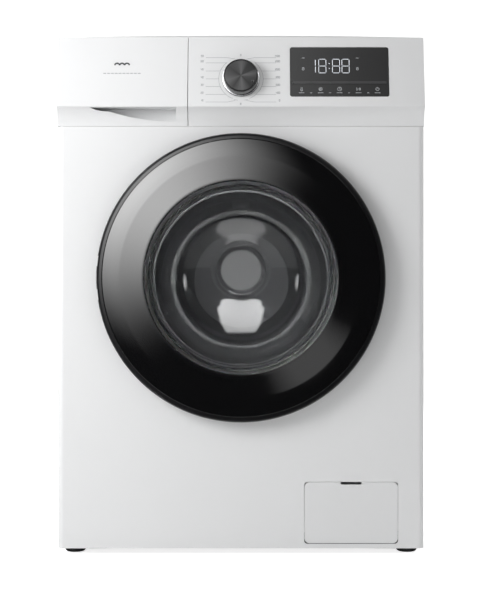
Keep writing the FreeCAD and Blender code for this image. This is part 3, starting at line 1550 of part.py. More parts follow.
def drain_pump():
    """The pump: filter chamber, motor, hose spigots and the surround seen behind the open flap."""
    chamber = turned("pump_chamber", (pump_x, front, pump_z), [
        (14, 26), (14, 36), (22, 36), (22, 33), (130, 33), (130, 38), (186, 38), (190, 34), (190, 0),
        (124, 0), (124, 26)])
    left, right = flap_left - 4, flap_left + flap_width + 4
    surround = slab("pump_surround", (0, front + 25, 0), "XZ",
                    rounded(left, flap_bottom + 13, right, flap_bottom + flap_height + 4, 8), 2.5,
                    holes=[(pump_x, pump_z, 32.5)])
    pins = []
    for i, (x, dx) in enumerate(((flap_left + 6, 8), (flap_left + flap_width - 14, 8))):
        pins.append(rod(f"flap_pin_{i}", (x, flap_axis_y, flap_axis_z), "x", 1.42, dx))
        ear_x = flap_left + 4 if i == 0 else flap_left + flap_width - 8
        pins.append(box(f"flap_ear_{i}", (ear_x, flap_axis_y - 0.3, flap_axis_z - 0.3),
                        (ear_x + 4, front + 14, flap_axis_z + 3)))
        pins.append(box(f"flap_ear_post_{i}", (ear_x, front + 11, flap_axis_z - 1.5),
                        (ear_x + 4, front + 14, flap_bottom + 22)))
        pins.append(box(f"flap_ear_arm_{i}", (ear_x, front + 11, flap_bottom + 18),
                        (ear_x + 4, front + 24, flap_bottom + 22)))
    inlet = rod("pump_inlet", (pump_x - 60, front + sump_setback, pump_z + 12), "x", 13, 37)
    outlet = rod("pump_outlet", (pump_x + 23, front + 60, pump_z + 12), "x", outlet_radius - 1, 27)
    node("drain_pump", cut("pump", fuse("pump_whole", chamber, surround, inlet, outlet, *pins),
                           rod("pump_bore", (pump_x, front + 13, pump_z), "y", 26, 111)))


def pump_filter():
    """The lint filter: a cap with a grip bar and the cage behind it."""
    at = (pump_x, front, pump_z)
    cap = turned("filter_cap", at, [(11, 0), (11, 28), (13.7, 29.5), (13.7, 25.7), (30, 25.7), (30, 0)])
    grip = box("filter_grip", (pump_x - 5, front + 6, pump_z - 24), (pump_x + 5, front + 12, pump_z + 24))
    cage = turned("filter_cage", at, [(29, 16), (29, 22), (88, 22), (88, 16)])
    slots = []
    for i in range(4):
        y = front + 36 + 12 * i
        slots.append(box(f"cage_slot_{i}", (pump_x - 30, y, pump_z - 14), (pump_x + 30, y + 6, pump_z + 14)))
    node("pump_filter", fuse("filter", cap, grip, cut("filter_cage_slotted", cage, *slots)))


def inlet_valve():
    """The water inlet valve: a threaded spigot through the back, its body and two solenoids."""
    spigot = turned("valve_spigot", (inlet_x, back, inlet_height), [
        (-30, 0),
        (-30, inlet_radius - 1),
        (-2, inlet_radius - 1),
        (-2, inlet_radius + 2.4),
        (3, inlet_radius + 2.4),
        (3, inlet_radius - 1),
        (5, inlet_radius),
        (rear_projection - 1, inlet_radius),
        (rear_projection, inlet_radius - 1),
        (rear_projection, inlet_radius - 5),
        (2, inlet_radius - 5),
        (2, 0),
    ])
    block = box("valve_block", (inlet_x - 20, back - 62, inlet_height - 18),
                (inlet_x + 20, back - 26, inlet_height + 18))
    coils = [box(f"valve_coil_{i}", (inlet_x - 36 + 38 * i, back - 58, inlet_height + 14),
                 (inlet_x - 2 + 38 * i, back - 30, inlet_height + 44)) for i in range(2)]
    port = rod("valve_port", (inlet_x, back - 80, inlet_height), "y", 6, 20)
    node("inlet_valve", fuse("valve", spigot, block, *coils, port))


def run(name, a, b, radius):
    """A straight round bar between two points that differ in one coordinate."""
    axis = max("xyz", key=lambda k: abs(number(b["xyz".index(k)]) - number(a["xyz".index(k)])))
    i = "xyz".index(axis)
    low, high = (a, b) if number(a[i]) < number(b[i]) else (b, a)
    return rod(name, low, axis, radius, high[i] - low[i])


def hose(name, route, radius, bend):
    """Round bars along a route of square corners, joined by quarter rings at the corners."""
    points = [FreeCAD.Vector(*[number(c) for c in p]) for p in route]
    ways = [(b - a).normalize() for a, b in zip(points, points[1:])]
    pieces, start = [], route[0]
    for i in range(1, len(route) - 1):
        before, after, corner = ways[i - 1], ways[i], route[i]
        end = tuple(c - bend * round(w) for c, w in zip(corner, before))
        centre = tuple(c + bend * round(w) for c, w in zip(end, after))
        pieces.append(run(f"{name}_run_{i}", start, end, radius))
        ring = doc.addObject("Part::Torus", f"{name}_bend_{i}")
        place(ring, centre, FreeCAD.Rotation(-after, before, (-after).cross(before), "XYZ"))
        bind(ring, "Radius1", bend)
        bind(ring, "Radius2", radius)
        ring.Angle3 = 90
        pieces.append(ring)
        start = tuple(c + bend * round(w) for c, w in zip(corner, after))
    pieces.append(run(f"{name}_run_last", start, route[-1], radius))
    return fuse(name, *pieces) if len(pieces) > 1 else pieces[0]


def tub_hoses():
    """The rubber hoses that bend as the tub floats: dispenser to tub, and tub to pump."""
    low = tray_bottom - 4
    near_edge, gap = -hose_x - hose_radius, 1
    fall = door_height + root(tub_radius * tub_radius - near_edge * near_edge) + gap
    fill = rod("fill_hose", (hose_x, hose_y, fall), "z", hose_radius, low - 1 - fall)
    fill_bore = rod("fill_bore", (hose_x, hose_y, fall - 1), "z", hose_radius - 2.8, low + 1 - fall)
    sump_edge = sump_x - sump_hose_radius
    rise = door_height - root(tub_radius * tub_radius - sump_edge * sump_edge) - gap
    y, z = front + sump_setback, pump_z + 12
    route = [(sump_x, y, rise), (sump_x, y, z), (pump_x - 60.5, y, z)]
    sump = hose("sump_hose", route, sump_hose_radius, 26)
    node("tub_hoses", group("rubber_hoses", cut("fill_tube", fill, fill_bore), sump))


def fixed_hoses():
    """The hose from the inlet valve to the dispenser, and from the pump to its outlet in the back."""
    start = front + worktop_setback + housing_depth + 2
    length = back - 64 - start
    feed = rod("feed_tube", (inlet_x, start, inlet_height), "y", 12, length)
    ends = [rod("feed_front", (inlet_x, start - 1, inlet_height), "y", 9, 12.5),
            rod("feed_rear", (inlet_x, back - 81, inlet_height), "y", 6, 22),
            rod("feed_bore", (inlet_x, start - 1, inlet_height), "y", 5.8, length + 2)]
    y, z = front + 60, pump_z + 12
    rise, behind = drain_hose_rise, back - 40
    route = [(pump_x + 50.5, y, z), (outlet_x, y, z), (outlet_x, y + 120, z), (outlet_x, y + 120, rise),
             (outlet_x, behind, rise), (outlet_x, behind, outlet_height),
             (outlet_x, back + rear_projection - 1, outlet_height)]
    whole = hose("drain_hose", route, outlet_radius, 26)
    collar = rod("drain_collar", (outlet_x, back + 0.2, outlet_height), "y", outlet_radius + 5, 2.5)
    mouth = rod("drain_mouth", (outlet_x, back - 10, outlet_height), "y", outlet_radius - 2.5, 40)
    drain = cut("drain_tube", fuse("drain_whole", whole, collar), mouth)
    node("fixed_hoses", group("fixed_pair", cut("feed_hose", feed, *ends), drain))


def mains_gland():
    """The strain-relief gland for the mains lead, in the back wall, with its blind bore."""
    node("mains_gland", turned("gland", (gland_x, back, gland_height), [
        (-16, 0), (-16, 9.6), (0.1, 9.6), (0.1, 14), (4, 14), (14, 9), (14, 5), (-6, 5), (-6, 0)]))


case_parts = (cabinet_shell, front_panel, base_frame, feet, worktop, upper_crossbars, rear_service_cover,
              cabinet_screws, transit_plugs)
console_parts = (console_fascia, drawer_front, drawer_tray, dispenser_housing, display_window, keys,
                 control_boards, programme_switch, programme_knob)
door_parts = (door_outer_ring, door_bezel, door_inner_frame, door_glass, hinge_bracket, hinge_leaf,
              latch_hook,
              door_lock, door_gasket)
drum_parts = (tub_front, tub_rear, drum, drum_bearings, drum_pulley, drive_belt, motor, counterweights,
              heating_element)
service_parts = (suspension_springs, dampers, filter_flap, drain_pump, pump_filter, inlet_valve, tub_hoses,
                 fixed_hoses, mains_gland)
for make in case_parts + console_parts + door_parts + drum_parts + service_parts:
    make()
doc.recompute()

faults = [o.Label for o in doc.Objects if {"Invalid", "Error"} & set(o.State)]
for made in nodes:
    if made.Shape.isNull() or not made.Shape.isValid() or not made.Shape.Solids:
        faults.append(made.Label + " has no valid shape")
if faults:
    raise RuntimeError("these objects failed: " + ", ".join(faults))

os.makedirs("parts", exist_ok=True)
for made in nodes:
    made.Shape.exportStep(f"parts/{made.Label}.step")
    print(f"{made.Label:26s} solids {len(made.Shape.Solids)} volume {made.Shape.Volume / 1000:10.2f} cm3")
print(len(nodes), "nodes")
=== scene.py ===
"""A white front load washing machine on a pale studio floor, dressed round its packed engineering frame."""

import json
import math

import bmesh
import bpy
import numpy as np
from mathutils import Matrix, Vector


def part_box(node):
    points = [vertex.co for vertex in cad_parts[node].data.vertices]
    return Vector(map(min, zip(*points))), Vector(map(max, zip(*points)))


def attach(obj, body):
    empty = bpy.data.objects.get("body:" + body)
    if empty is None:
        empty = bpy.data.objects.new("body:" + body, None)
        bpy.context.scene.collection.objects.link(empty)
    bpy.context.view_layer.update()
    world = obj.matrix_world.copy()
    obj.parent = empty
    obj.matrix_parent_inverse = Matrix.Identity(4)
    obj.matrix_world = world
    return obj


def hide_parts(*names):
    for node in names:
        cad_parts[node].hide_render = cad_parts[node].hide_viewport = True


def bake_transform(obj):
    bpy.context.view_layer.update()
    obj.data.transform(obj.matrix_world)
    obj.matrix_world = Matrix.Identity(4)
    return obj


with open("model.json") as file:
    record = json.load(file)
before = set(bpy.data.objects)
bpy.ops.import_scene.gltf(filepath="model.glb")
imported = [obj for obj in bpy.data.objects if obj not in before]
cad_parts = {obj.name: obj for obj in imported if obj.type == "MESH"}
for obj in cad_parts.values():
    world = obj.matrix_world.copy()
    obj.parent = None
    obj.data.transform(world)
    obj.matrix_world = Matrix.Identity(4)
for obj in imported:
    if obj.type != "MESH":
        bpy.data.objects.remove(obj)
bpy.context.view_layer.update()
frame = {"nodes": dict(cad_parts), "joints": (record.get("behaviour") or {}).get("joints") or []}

joints = {joint["name"]: joint for joint in frame["joints"]}
scene = bpy.context.scene
MM = 0.001

# ---------------------------------------------------------------- camera
# Straight in front of the machine, at half its height, with a long lens, so that its sides stay hidden.

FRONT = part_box("front_panel")[0].y
camera_data = bpy.data.cameras.new("camera")
camera_data.sensor_width = 36
camera_data.lens = 85
camera_data.clip_start, camera_data.clip_end = 0.1, 50
camera = bpy.data.objects.new("camera", camera_data)
camera.location = (0.0058, FRONT - 2.3, 0.4132)
camera.rotation_euler = (math.radians(90), 0, 0)
scene.collection.objects.link(camera)
scene.camera = camera
scene.view_settings.view_transform = "Standard"

# ---------------------------------------------------------------- studio
# A pale sweep of floor and wall, a soft key light on the left, and dim lights beside and behind the machine. In the
# sky, painted gloss mirrors a wide lamp high on the left and a faint one low on the right of a dark room, and clear
# glass mirrors small lamps at its sides and nose and two strips, so that each shows its own reflections.


def nodes_of(tree, *kinds):
    """New shader nodes of these kinds, in order."""
    return [tree.nodes.new("ShaderNode" + kind) for kind in kinds]


def maths(tree, operation, first, second=None, third=None, clamp=False):
    """One Math node; an input is a number or the socket that feeds it."""
    node = tree.nodes.new("ShaderNodeMath")
    node.operation, node.use_clamp = operation, clamp
    for i, value in enumerate((first, second, third)):
        if value is None:
            continue
        if isinstance(value, (int, float)):
            node.inputs[i].default_value = value
        else:
            tree.links.new(value, node.inputs[i])
    return node.outputs[0]


def toward(tilt, bearing):
    """The direction that leans from straight ahead of the door by tilt, towards a clock bearing from +x."""
    t, b = math.radians(tilt), math.radians(bearing)
    return (math.sin(t) * math.cos(b), -math.cos(t), math.sin(t) * math.sin(b))


world = bpy.data.worlds.new("studio")
scene.world = world
world.use_nodes = True
sky = world.node_tree
sky.nodes.clear()
sky_out, sky_light, sky_ways, sky_rays = nodes_of(sky, "OutputWorld", "Background", "TexCoord", "LightPath")
ROOM = 0.014
# What the flat nose of the bowl mirrors to the camera: the way from the camera to it, turned back at its face.
glass_low, glass_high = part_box("door_glass")
nose_way = Vector((0.0, glass_high.y, (glass_low.z + glass_high.z) / 2 + 0.015)) - camera.location
nose_way = Vector((nose_way.x, -nose_way.y, nose_way.z)).normalized()
lamps = ((toward(40, 137), 0.70, 0.30, 2.7, 8.6), (toward(19.4, 312), 0.984, 0.012, 1.0, 0.75),
         (toward(61, 10), 0.990, 0.008, 1.0, 6.0), (toward(61, 170), 0.990, 0.008, 1.0, 6.0),
         (tuple(nose_way), 0.9985, 0.0010, 1.0, 2.1))
sharp, blunt = 0.0, 0.0
for i, (direction, edge, width, softness, power) in enumerate(lamps):
    facing = nodes_of(sky, "VectorMath")[0]
    facing.operation = "DOT_PRODUCT"
    facing.inputs[1].default_value = direction
    sky.links.new(sky_ways.outputs["Generated"], facing.inputs[0])
    share = maths(sky, "DIVIDE", maths(sky, "SUBTRACT", facing.outputs["Value"], edge), width, clamp=True)
    beam = maths(sky, "MULTIPLY", maths(sky, "POWER", share, softness), power)
    # The first two are mirrored by painted gloss; the others only by clear glass, which is the only sharp mirror here.
    if i < 2:
        blunt = maths(sky, "ADD", beam, blunt)
    else:
        sharp = maths(sky, "ADD", beam, sharp)
# Two narrow strips, one overhead and one under the machine: only a bowl curves enough to catch them.
parts = nodes_of(sky, "SeparateXYZ")[0]
sky.links.new(sky_ways.outputs["Generated"], parts.inputs[0])
for sign, low, high, width, power in ((1, 0.46, 0.86, 0.40, 9.0), (-1, 0.60, 0.90, 0.46, 4.5)):
    rise = maths(sky, "MULTIPLY", parts.outputs[2], float(sign))
    inside = maths(sky, "MULTIPLY", maths(sky, "MULTIPLY", maths(sky, "SUBTRACT", rise, low), 12.0, clamp=True),
                   maths(sky, "MULTIPLY", maths(sky, "SUBTRACT", high, rise), 30.0, clamp=True))
    narrow = maths(sky, "SUBTRACT", maths(sky, "SUBTRACT", width, maths(sky, "ABSOLUTE", parts.outputs[0])),
                   maths(sky, "MULTIPLY", maths(sky, "SUBTRACT", rise, low), 0.45))
    narrow = maths(sky, "MULTIPLY", narrow, 25.0, clamp=True)
    before = maths(sky, "MULTIPLY", parts.outputs[1], -8.0, clamp=True)
    fading = maths(sky, "MULTIPLY_ADD", rise, -1.9 * power, 2.25 * power)
    strip = maths(sky, "MULTIPLY", maths(sky, "MULTIPLY", inside, narrow), maths(sky, "MULTIPLY", before, fading))
    sharp = maths(sky, "ADD", strip, sharp)
mirror = sky_rays.outputs["Is Singular Ray"]
glossy = maths(sky, "ADD", maths(sky, "MULTIPLY", blunt, maths(sky, "SUBTRACT", 1.0, mirror)),
               maths(sky, "MULTIPLY_ADD", sharp, mirror, ROOM))
FILL, BACKDROP = 0.42, 1.0
seen = maths(sky, "MAXIMUM", sky_rays.outputs["Is Glossy Ray"], sky_rays.outputs["Is Transmission Ray"])
soft = maths(sky, "ADD", maths(sky, "MULTIPLY", glossy, seen),
             maths(sky, "MULTIPLY", maths(sky, "SUBTRACT", 1.0, seen), FILL))
watched = sky_rays.outputs["Is Camera Ray"]
strength = maths(sky, "ADD", maths(sky, "MULTIPLY", soft, maths(sky, "SUBTRACT", 1.0, watched)),
                 maths(sky, "MULTIPLY", watched, BACKDROP))
sky.links.new(strength, sky_light.inputs["Strength"])
sky.links.new(sky_light.outputs[0], sky_out.inputs[0])


def lamp(name, at, aim, size, power):
    """A square soft light that shows in no reflection."""
    data = bpy.data.lights.new(name, "AREA")
    data.size, data.energy = size, power
    made = bpy.data.objects.new(name, data)
    made.location = at
    made.rotation_mode = "QUATERNION"
    made.rotation_quaternion = (Vector(aim) - Vector(at)).to_track_quat("-Z", "Y")
    made.visible_glossy = made.visible_transmission = False
    scene.collection.objects.link(made)
    return made


lamp("key_light", (-1.10, FRONT - 0.85, 0.95), (-0.15, FRONT, 0.52), 0.7, 13.5)
# A lamp behind the bowl lights the gasket and the drum's mouth, and can't be seen itself.
drum_light = lamp("drum_light", (0.0, -0.045, 0.449), (0.0, -1.0, 0.449), 0.12, 3.2)
drum_light.visible_camera = False
lamp("back_light", (0.9, 2.2, 1.7), (0.0, 0.2, 0.5), 1.6, 24)
lamp("side_light", (2.3, 0.3, 1.2), (0.3, 0.0, 0.4), 1.4, 16)
lamp("left_side_light", (-2.3, 0.5, 1.0), (-0.3, 0.0, 0.4), 1.4, 10)


def mesh_piece(name, vertices, faces, smooth=True):
    """A mesh object from points and faces, smooth shaded unless asked not to be, linked into the scene."""
    data = bpy.data.meshes.new(name)
    data.from_pydata([tuple(v) for v in np.asarray(vertices, float)], [], [tuple(int(i) for i in f) for f in faces])
    data.polygons.foreach_set("use_smooth", [smooth] * len(data.polygons))
    data.update()
    made = bpy.data.objects.new(name, data)
    scene.collection.objects.link(made)
    return made


def grid_faces(rows, columns, wrap_rows=False, wrap_columns=False):
    """The quads of a grid of points, closed on itself in either direction where asked."""
    i, j = np.meshgrid(np.arange(rows - (not wrap_rows)), np.arange(columns - (not wrap_columns)), indexing="ij")
    a = i * columns + j
    b = i * columns + (j + 1) % columns
    c = ((i + 1) % rows) * columns + (j + 1) % columns
    d = ((i + 1) % rows) * columns + j
    return np.stack([a, b, c, d], -1).reshape(-1, 4)


# The floor: flat under the machine, then a wide curve up into the wall.
sweep_t = np.linspace(0, 1, 60)
sweep_far = 4.0
sweep_y = np.where(sweep_t < 0.5, -7 + 22 * sweep_t, sweep_far + 3 * np.sin((sweep_t - 0.5) * math.pi))
sweep_z = np.where(sweep_t < 0.5, 0, 3 * (1 - np.cos((sweep_t - 0.5) * math.pi)))
sweep_x = np.array([-9.0, 9.0])
sweep = np.stack(np.broadcast_arrays(sweep_x[None, :], sweep_y[:, None], sweep_z[:, None]), -1)
floor = mesh_piece("studio_floor", sweep.reshape(-1, 3), grid_faces(60, 2))
floor.visible_glossy = False
floor_paint = bpy.data.materials.new("studio_floor")
floor_paint.use_nodes = True
floor_shader = floor_paint.node_tree.nodes["Principled BSDF"]
floor_shader.inputs["Base Color"].default_value = (0.93, 0.93, 0.93, 1)
floor_shader.inputs["Roughness"].default_value = 0.9
floor_shader.inputs["Emission Color"].default_value = (1, 1, 1, 1)
floor_tree = floor_paint.node_tree
floor_ways = nodes_of(floor_tree, "LightPath")[0]
FLOOR_SEEN, FLOOR_GLOW = 0.72, 0.10
floor_glow = maths(floor_tree, "MULTIPLY_ADD", floor_ways.outputs["Is Camera Ray"], FLOOR_SEEN, FLOOR_GLOW)
floor_tree.links.new(floor_glow, floor_shader.inputs["Emission Strength"])
floor.data.materials.append(floor_paint)

# ---------------------------------------------------------------- case
# Steel sheet, pressed and bent, with baked white enamel. The base is black plastic, the worktop a laminated board.


def surface_group():
    """Fine texture that many finishes share. Swing = fine noise + broad noise - 1; colour = base (1 + Tint swing),
    moved towards dust by the broad noise; roughness = base + Spread swing; normal = bump of the fine noise."""
    group = bpy.data.node_groups.new("fine_texture", "ShaderNodeTree")
    made = group.interface.new_socket
    made("Color", in_out="INPUT", socket_type="NodeSocketColor")
    for name in ("Roughness", "Scale", "Tint", "Spread", "Height", "Dust"):
        made(name, in_out="INPUT", socket_type="NodeSocketFloat")
    made("Color", in_out="OUTPUT", socket_type="NodeSocketColor")
    made("Roughness", in_out="OUTPUT", socket_type="NodeSocketFloat")
    made("Normal", in_out="OUTPUT", socket_type="NodeSocketVector")
    place, fine, broad, bump = nodes_of(group, "TexCoord", "TexNoise", "TexNoise", "Bump")
    given, out = group.nodes.new("NodeGroupInput"), group.nodes.new("NodeGroupOutput")
    fine.inputs["Detail"].default_value = 3
    broad.inputs["Scale"].default_value = 9
    broad.inputs["Detail"].default_value = 5
    group.links.new(place.outputs["Object"], fine.inputs["Vector"])
    group.links.new(place.outputs["Object"], broad.inputs["Vector"])
    group.links.new(given.outputs["Scale"], fine.inputs["Scale"])
    swing = maths(group, "SUBTRACT", maths(group, "ADD", fine.outputs[0], broad.outputs[0]), 1.0)
    factor = maths(group, "MULTIPLY_ADD", swing, given.outputs["Tint"], 1.0)
    tinted = nodes_of(group, "VectorMath")[0]
    tinted.operation = "SCALE"
    group.links.new(given.outputs["Color"], tinted.inputs[0])
    group.links.new(factor, tinted.inputs["Scale"])
    dusty = nodes_of(group, "Mix")[0]
    dusty.data_type = "RGBA"
    dusty.inputs["B"].default_value = (0.55, 0.54, 0.52, 1)
    group.links.new(tinted.outputs[0], dusty.inputs["A"])
    group.links.new(maths(group, "MULTIPLY", given.outputs["Dust"], broad.outputs[0]), dusty.inputs["Factor"])
    group.links.new(dusty.outputs["Result"], out.inputs["Color"])
    rough = maths(group, "MULTIPLY_ADD", swing, given.outputs["Spread"], given.outputs["Roughness"], clamp=True)
    group.links.new(rough, out.inputs["Roughness"])
    group.links.new(fine.outputs[0], bump.inputs["Height"])
    group.links.new(given.outputs["Height"], bump.inputs["Distance"])
    group.links.new(bump.outputs[0], out.inputs["Normal"])
    return group


fine_texture = surface_group()


def finish(name, color, roughness, metallic=0.0, coat=0.0, scale=900.0, tint=0.02, spread=0.04, height=0.00001,
           dust=0.0, **values):
    """A material: the fine texture feeds the shader, and every plain value is set on the shader itself."""
    made = bpy.data.materials.new(name)
    made.use_nodes = True
    tree = made.node_tree
    shader = tree.nodes["Principled BSDF"]
    texture = tree.nodes.new("ShaderNodeGroup")
    texture.node_tree = fine_texture
    texture.inputs["Color"].default_value = (*color, 1)
    for key, value in (("Roughness", roughness), ("Scale", scale), ("Tint", tint), ("Spread", spread),
                       ("Height", height), ("Dust", dust)):
        texture.inputs[key].default_value = value
    for key in ("Roughness", "Normal"):
        tree.links.new(texture.outputs[key], shader.inputs[key])
    tree.links.new(texture.outputs["Color"], shader.inputs["Base Color"])
    shader.inputs["Metallic"].default_value = metallic
    shader.inputs["Coat Weight"].default_value = coat
    shader.inputs["Coat Roughness"].default_value = 0.03
    for key, value in values.items():
        shader.inputs[key.replace("_", " ").title().replace("Ior", "IOR")].default_value = value
    return made


def wear(material, *names):
    """Gives a material to CAD nodes or new pieces."""
    for name in names:
        piece = frame["nodes"].get(name) or bpy.data.objects[name]
        piece.data.materials.clear()
        piece.data.materials.append(material)


enamel = finish("white_enamel", (0.86, 0.865, 0.87), 0.32, coat=0.25, scale=420, tint=0.006, height=0.000006)
laminate = finish("worktop_laminate", (0.85, 0.855, 0.86), 0.42, scale=1500, tint=0.012, height=0.00002)
galvanised = finish("galvanised_sheet", (0.62, 0.64, 0.66), 0.38, metallic=1, scale=60, tint=0.10, spread=0.14)
black_moulding = finish("black_moulding", (0.018, 0.018, 0.02), 0.5, scale=1400, tint=0.15, height=0.00004, dust=0.05)
wear(enamel, "cabinet_shell", "front_panel")
wear(laminate, "worktop")
wear(galvanised, "rear_service_cover", "upper_crossbars")
wear(black_moulding, "base_frame", "mains_gland", "door_lock")

# ---------------------------------------------------------------- console
# Injection-moulded white front in two parts: the drawer's face on the left, the fascia on the right. The marks on
# the fascia are printed in thin grey ink, and the mark on the drawer is a small dark badge.

white_moulding = finish("white_moulding", (0.84, 0.845, 0.85), 0.30, coat=0.15, scale=1200, tint=0.008, height=0.000008)
pale_moulding = finish("pale_moulding", (0.72, 0.73, 0.74), 0.45, scale=1000, tint=0.02, height=0.00002)
wear(white_moulding, "console_fascia", "drawer_front", "transit_plugs", "filter_flap", "pump_filter")
wear(pale_moulding, "drawer_tray", "dispenser_housing", "drain_pump", "inlet_valve")

knob_joint = joints["knob_turn"]
fascia_normal = np.array(knob_joint["axis"], float)
fascia_up = np.array([0, fascia_normal[2], -fascia_normal[1]])
knob_rise = 46 * MM
fascia_origin = np.array(knob_joint["pos_m"]) - knob_rise * fascia_up


def on_fascia(x, rise, lift):
    """Points given across the fascia, up its slope from the crease, and out from it."""
    x, rise, lift = np.broadcast_arrays(*(np.asarray(v, float) for v in (x, rise, lift)))
    return (fascia_origin + x[..., None] * np.array([1, 0, 0]) + rise[..., None] * fascia_up
            + lift[..., None] * fascia_normal)


def strokes(name, lines, width, lift=0.00006, thick=0.00004, place=on_fascia):
    """Ink: each line of points becomes a flat ribbon, offset half its width to each side along its own normal."""
    vertices, faces = [], []
    for line in lines:
        p = np.asarray(line, float)
        way = np.gradient(p, axis=0)
        way /= np.linalg.norm(way, axis=1)[:, None] + 1e-12
        side = np.stack([-way[:, 1], way[:, 0]], -1) * width / 2
        ring = np.stack([p - side, p + side, p + side, p - side], 1)
        lifts = np.array([lift + thick, lift + thick, lift, lift])
        points = place(ring[..., 0], ring[..., 1], lifts[None, :])
        start = len(vertices)
        vertices.extend(points.reshape(-1, 3))
        faces.extend(grid_faces(len(p), 4, wrap_columns=True) + start)
        last = start + 4 * (len(p) - 1)
        faces.append(np.array([start, start + 1, start + 2, start + 3]))
        faces.append(np.array([last + 3, last + 2, last + 1, last]))
    made = mesh_piece(name, vertices, faces, smooth=False)
    turn_outwards(made)
    return made


def turn_outwards(piece, merge=0.0):
    """Merges doubled points if asked, then points every face out of its closed shell."""
    work = bmesh.new()
    work.from_mesh(piece.data)
    if merge:
        bmesh.ops.remove_doubles(work, verts=work.verts, dist=merge)
    bmesh.ops.recalc_face_normals(work, faces=work.faces)
    work.to_mesh(piece.data)
    work.free()
    piece.data.update()


def circle_line(x, y, radius, start=0.0, stop=360.0, count=40):
    """Points round a circle between two bearings."""
    a = np.radians(np.linspace(start, stop, count))
    return np.stack([x + radius * np.cos(a), y + radius * np.sin(a)], -1)


SEGMENTS = {
    "a": ((0, 2), (1, 2)), "b": ((1, 2), (1, 1)), "c": ((1, 1), (1, 0)), "d": ((0, 0), (1, 0)),
    "e": ((0, 1), (0, 0)), "f": ((0, 2), (0, 1)), "g": ((0, 1), (1, 1)),
}
DIGITS = {
    "0": "abcdef", "1": "bc", "2": "abged", "3": "abgcd", "4": "fgbc", "5": "afgcd", "6": "afgedc", "7": "abc",
    "8": "abcdefg", "9": "abcdfg", "-": "g",
}


def digit_lines(text, x, y, height, gap=0.0):
    """The strokes of a row of numerals: each is built on a one by two grid of cells."""
    lines, width = [], height * 0.5
    for i, character in enumerate(text):
        left = x + i * width * 1.55
        if character == "'":
            lines.append(np.array([[left, y + height], [left, y + height * 0.75]]))
            continue
        for key in DIGITS[character]:
            (u0, v0), (u1, v1) = SEGMENTS[key]
            a = np.array([left + u0 * width, y + v0 * height / 2])
            b = np.array([left + u1 * width, y + v1 * height / 2])
            way = (b - a) / np.linalg.norm(b - a)
            lines.append(np.stack([a + way * gap, b - way * gap]))
    return lines


ink = finish("grey_ink", (0.30, 0.31, 0.33), 0.5, tint=0.05)
dark_ink = finish("badge_ink", (0.03, 0.032, 0.036), 0.35, tint=0.05)
knob_x, dial_radius = 0.0, 36 * MM
label_rises = np.array([36.5, 27.5, 13.5, 0.0, -13.0, -26.5, -39.5]) * MM
leaders = [circle_line(knob_x, knob_rise, dial_radius, 128, 248), circle_line(knob_x, knob_rise, dial_radius, -68, 52)]
leaders += [circle_line(knob_x, knob_rise, dial_radius * 1.02, 252, 262, 8),
            circle_line(knob_x, knob_rise, dial_radius * 1.02, 278, 288, 8)]
left_labels = ("90'", "60'", "45'", "40'", "30'", "20'", "15'")
right_labels = ("1400", "1200", "1000", "800", "600", "400", "0")
numerals = []
for side, labels in ((-1, left_labels), (1, right_labels)):
    for offset, text in zip(label_rises, labels):
        meet = math.sqrt(max(dial_radius ** 2 - min(abs(offset), dial_radius) ** 2, 0))
        far = side * 57 * MM
        if abs(offset) < dial_radius:
            leaders.append(np.array([[side * meet, knob_rise + offset], [far, knob_rise + offset]]))
        else:
            leaders.append(np.array([[side * 9 * MM, knob_rise + offset * 0.93], [side * 22 * MM, knob_rise + offset],
                                     [far, knob_rise + offset]]))
        width = len(text) * 0.5 * 1.55 * 3.1 * MM
        start = far - 8 * MM if side < 0 else far + 7 * MM - width
        numerals += digit_lines(text, start, knob_rise + offset + 1.2 * MM, 3.1 * MM)
numerals += digit_lines("0", -1.0 * MM, knob_rise + 39.5 * MM, 3.0 * MM)
numerals += digit_lines("8", -1.0 * MM, knob_rise - 44.0 * MM, 3.0 * MM)
fascia_lines = strokes("fascia_leader_lines", leaders, 0.45 * MM)
fascia_numerals = strokes("fascia_numerals", numerals, 0.5 * MM)
for piece in (fascia_lines, fascia_numerals):
    wear(ink, piece.name)
    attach(piece, "cabinet")

badge_x, badge_rise = -193 * MM, 71 * MM
badge_lines = []
for i in range(3):
    badge_lines.append(circle_line(badge_x - 8 * MM + i * 8 * MM, badge_rise - 2.2 * MM, 3.9 * MM, 8, 172, 28))
badge = strokes("drawer_badge", badge_lines, 2.3 * MM, lift=0.0002, thick=0.0004)
dashes = [np.array([[badge_x - 30 * MM + i * 6.2 * MM, badge_rise - 15.5 * MM],
                    [badge_x - 30 * MM + (i * 6.2 + 4.4) * MM, badge_rise - 15.5 * MM]]) for i in range(10)]
small_print = strokes("drawer_dashes", dashes, 1.1 * MM)
for piece, paint in ((badge, dark_ink), (small_print, ink)):
    wear(paint, piece.name)
    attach(piece, "drawer")
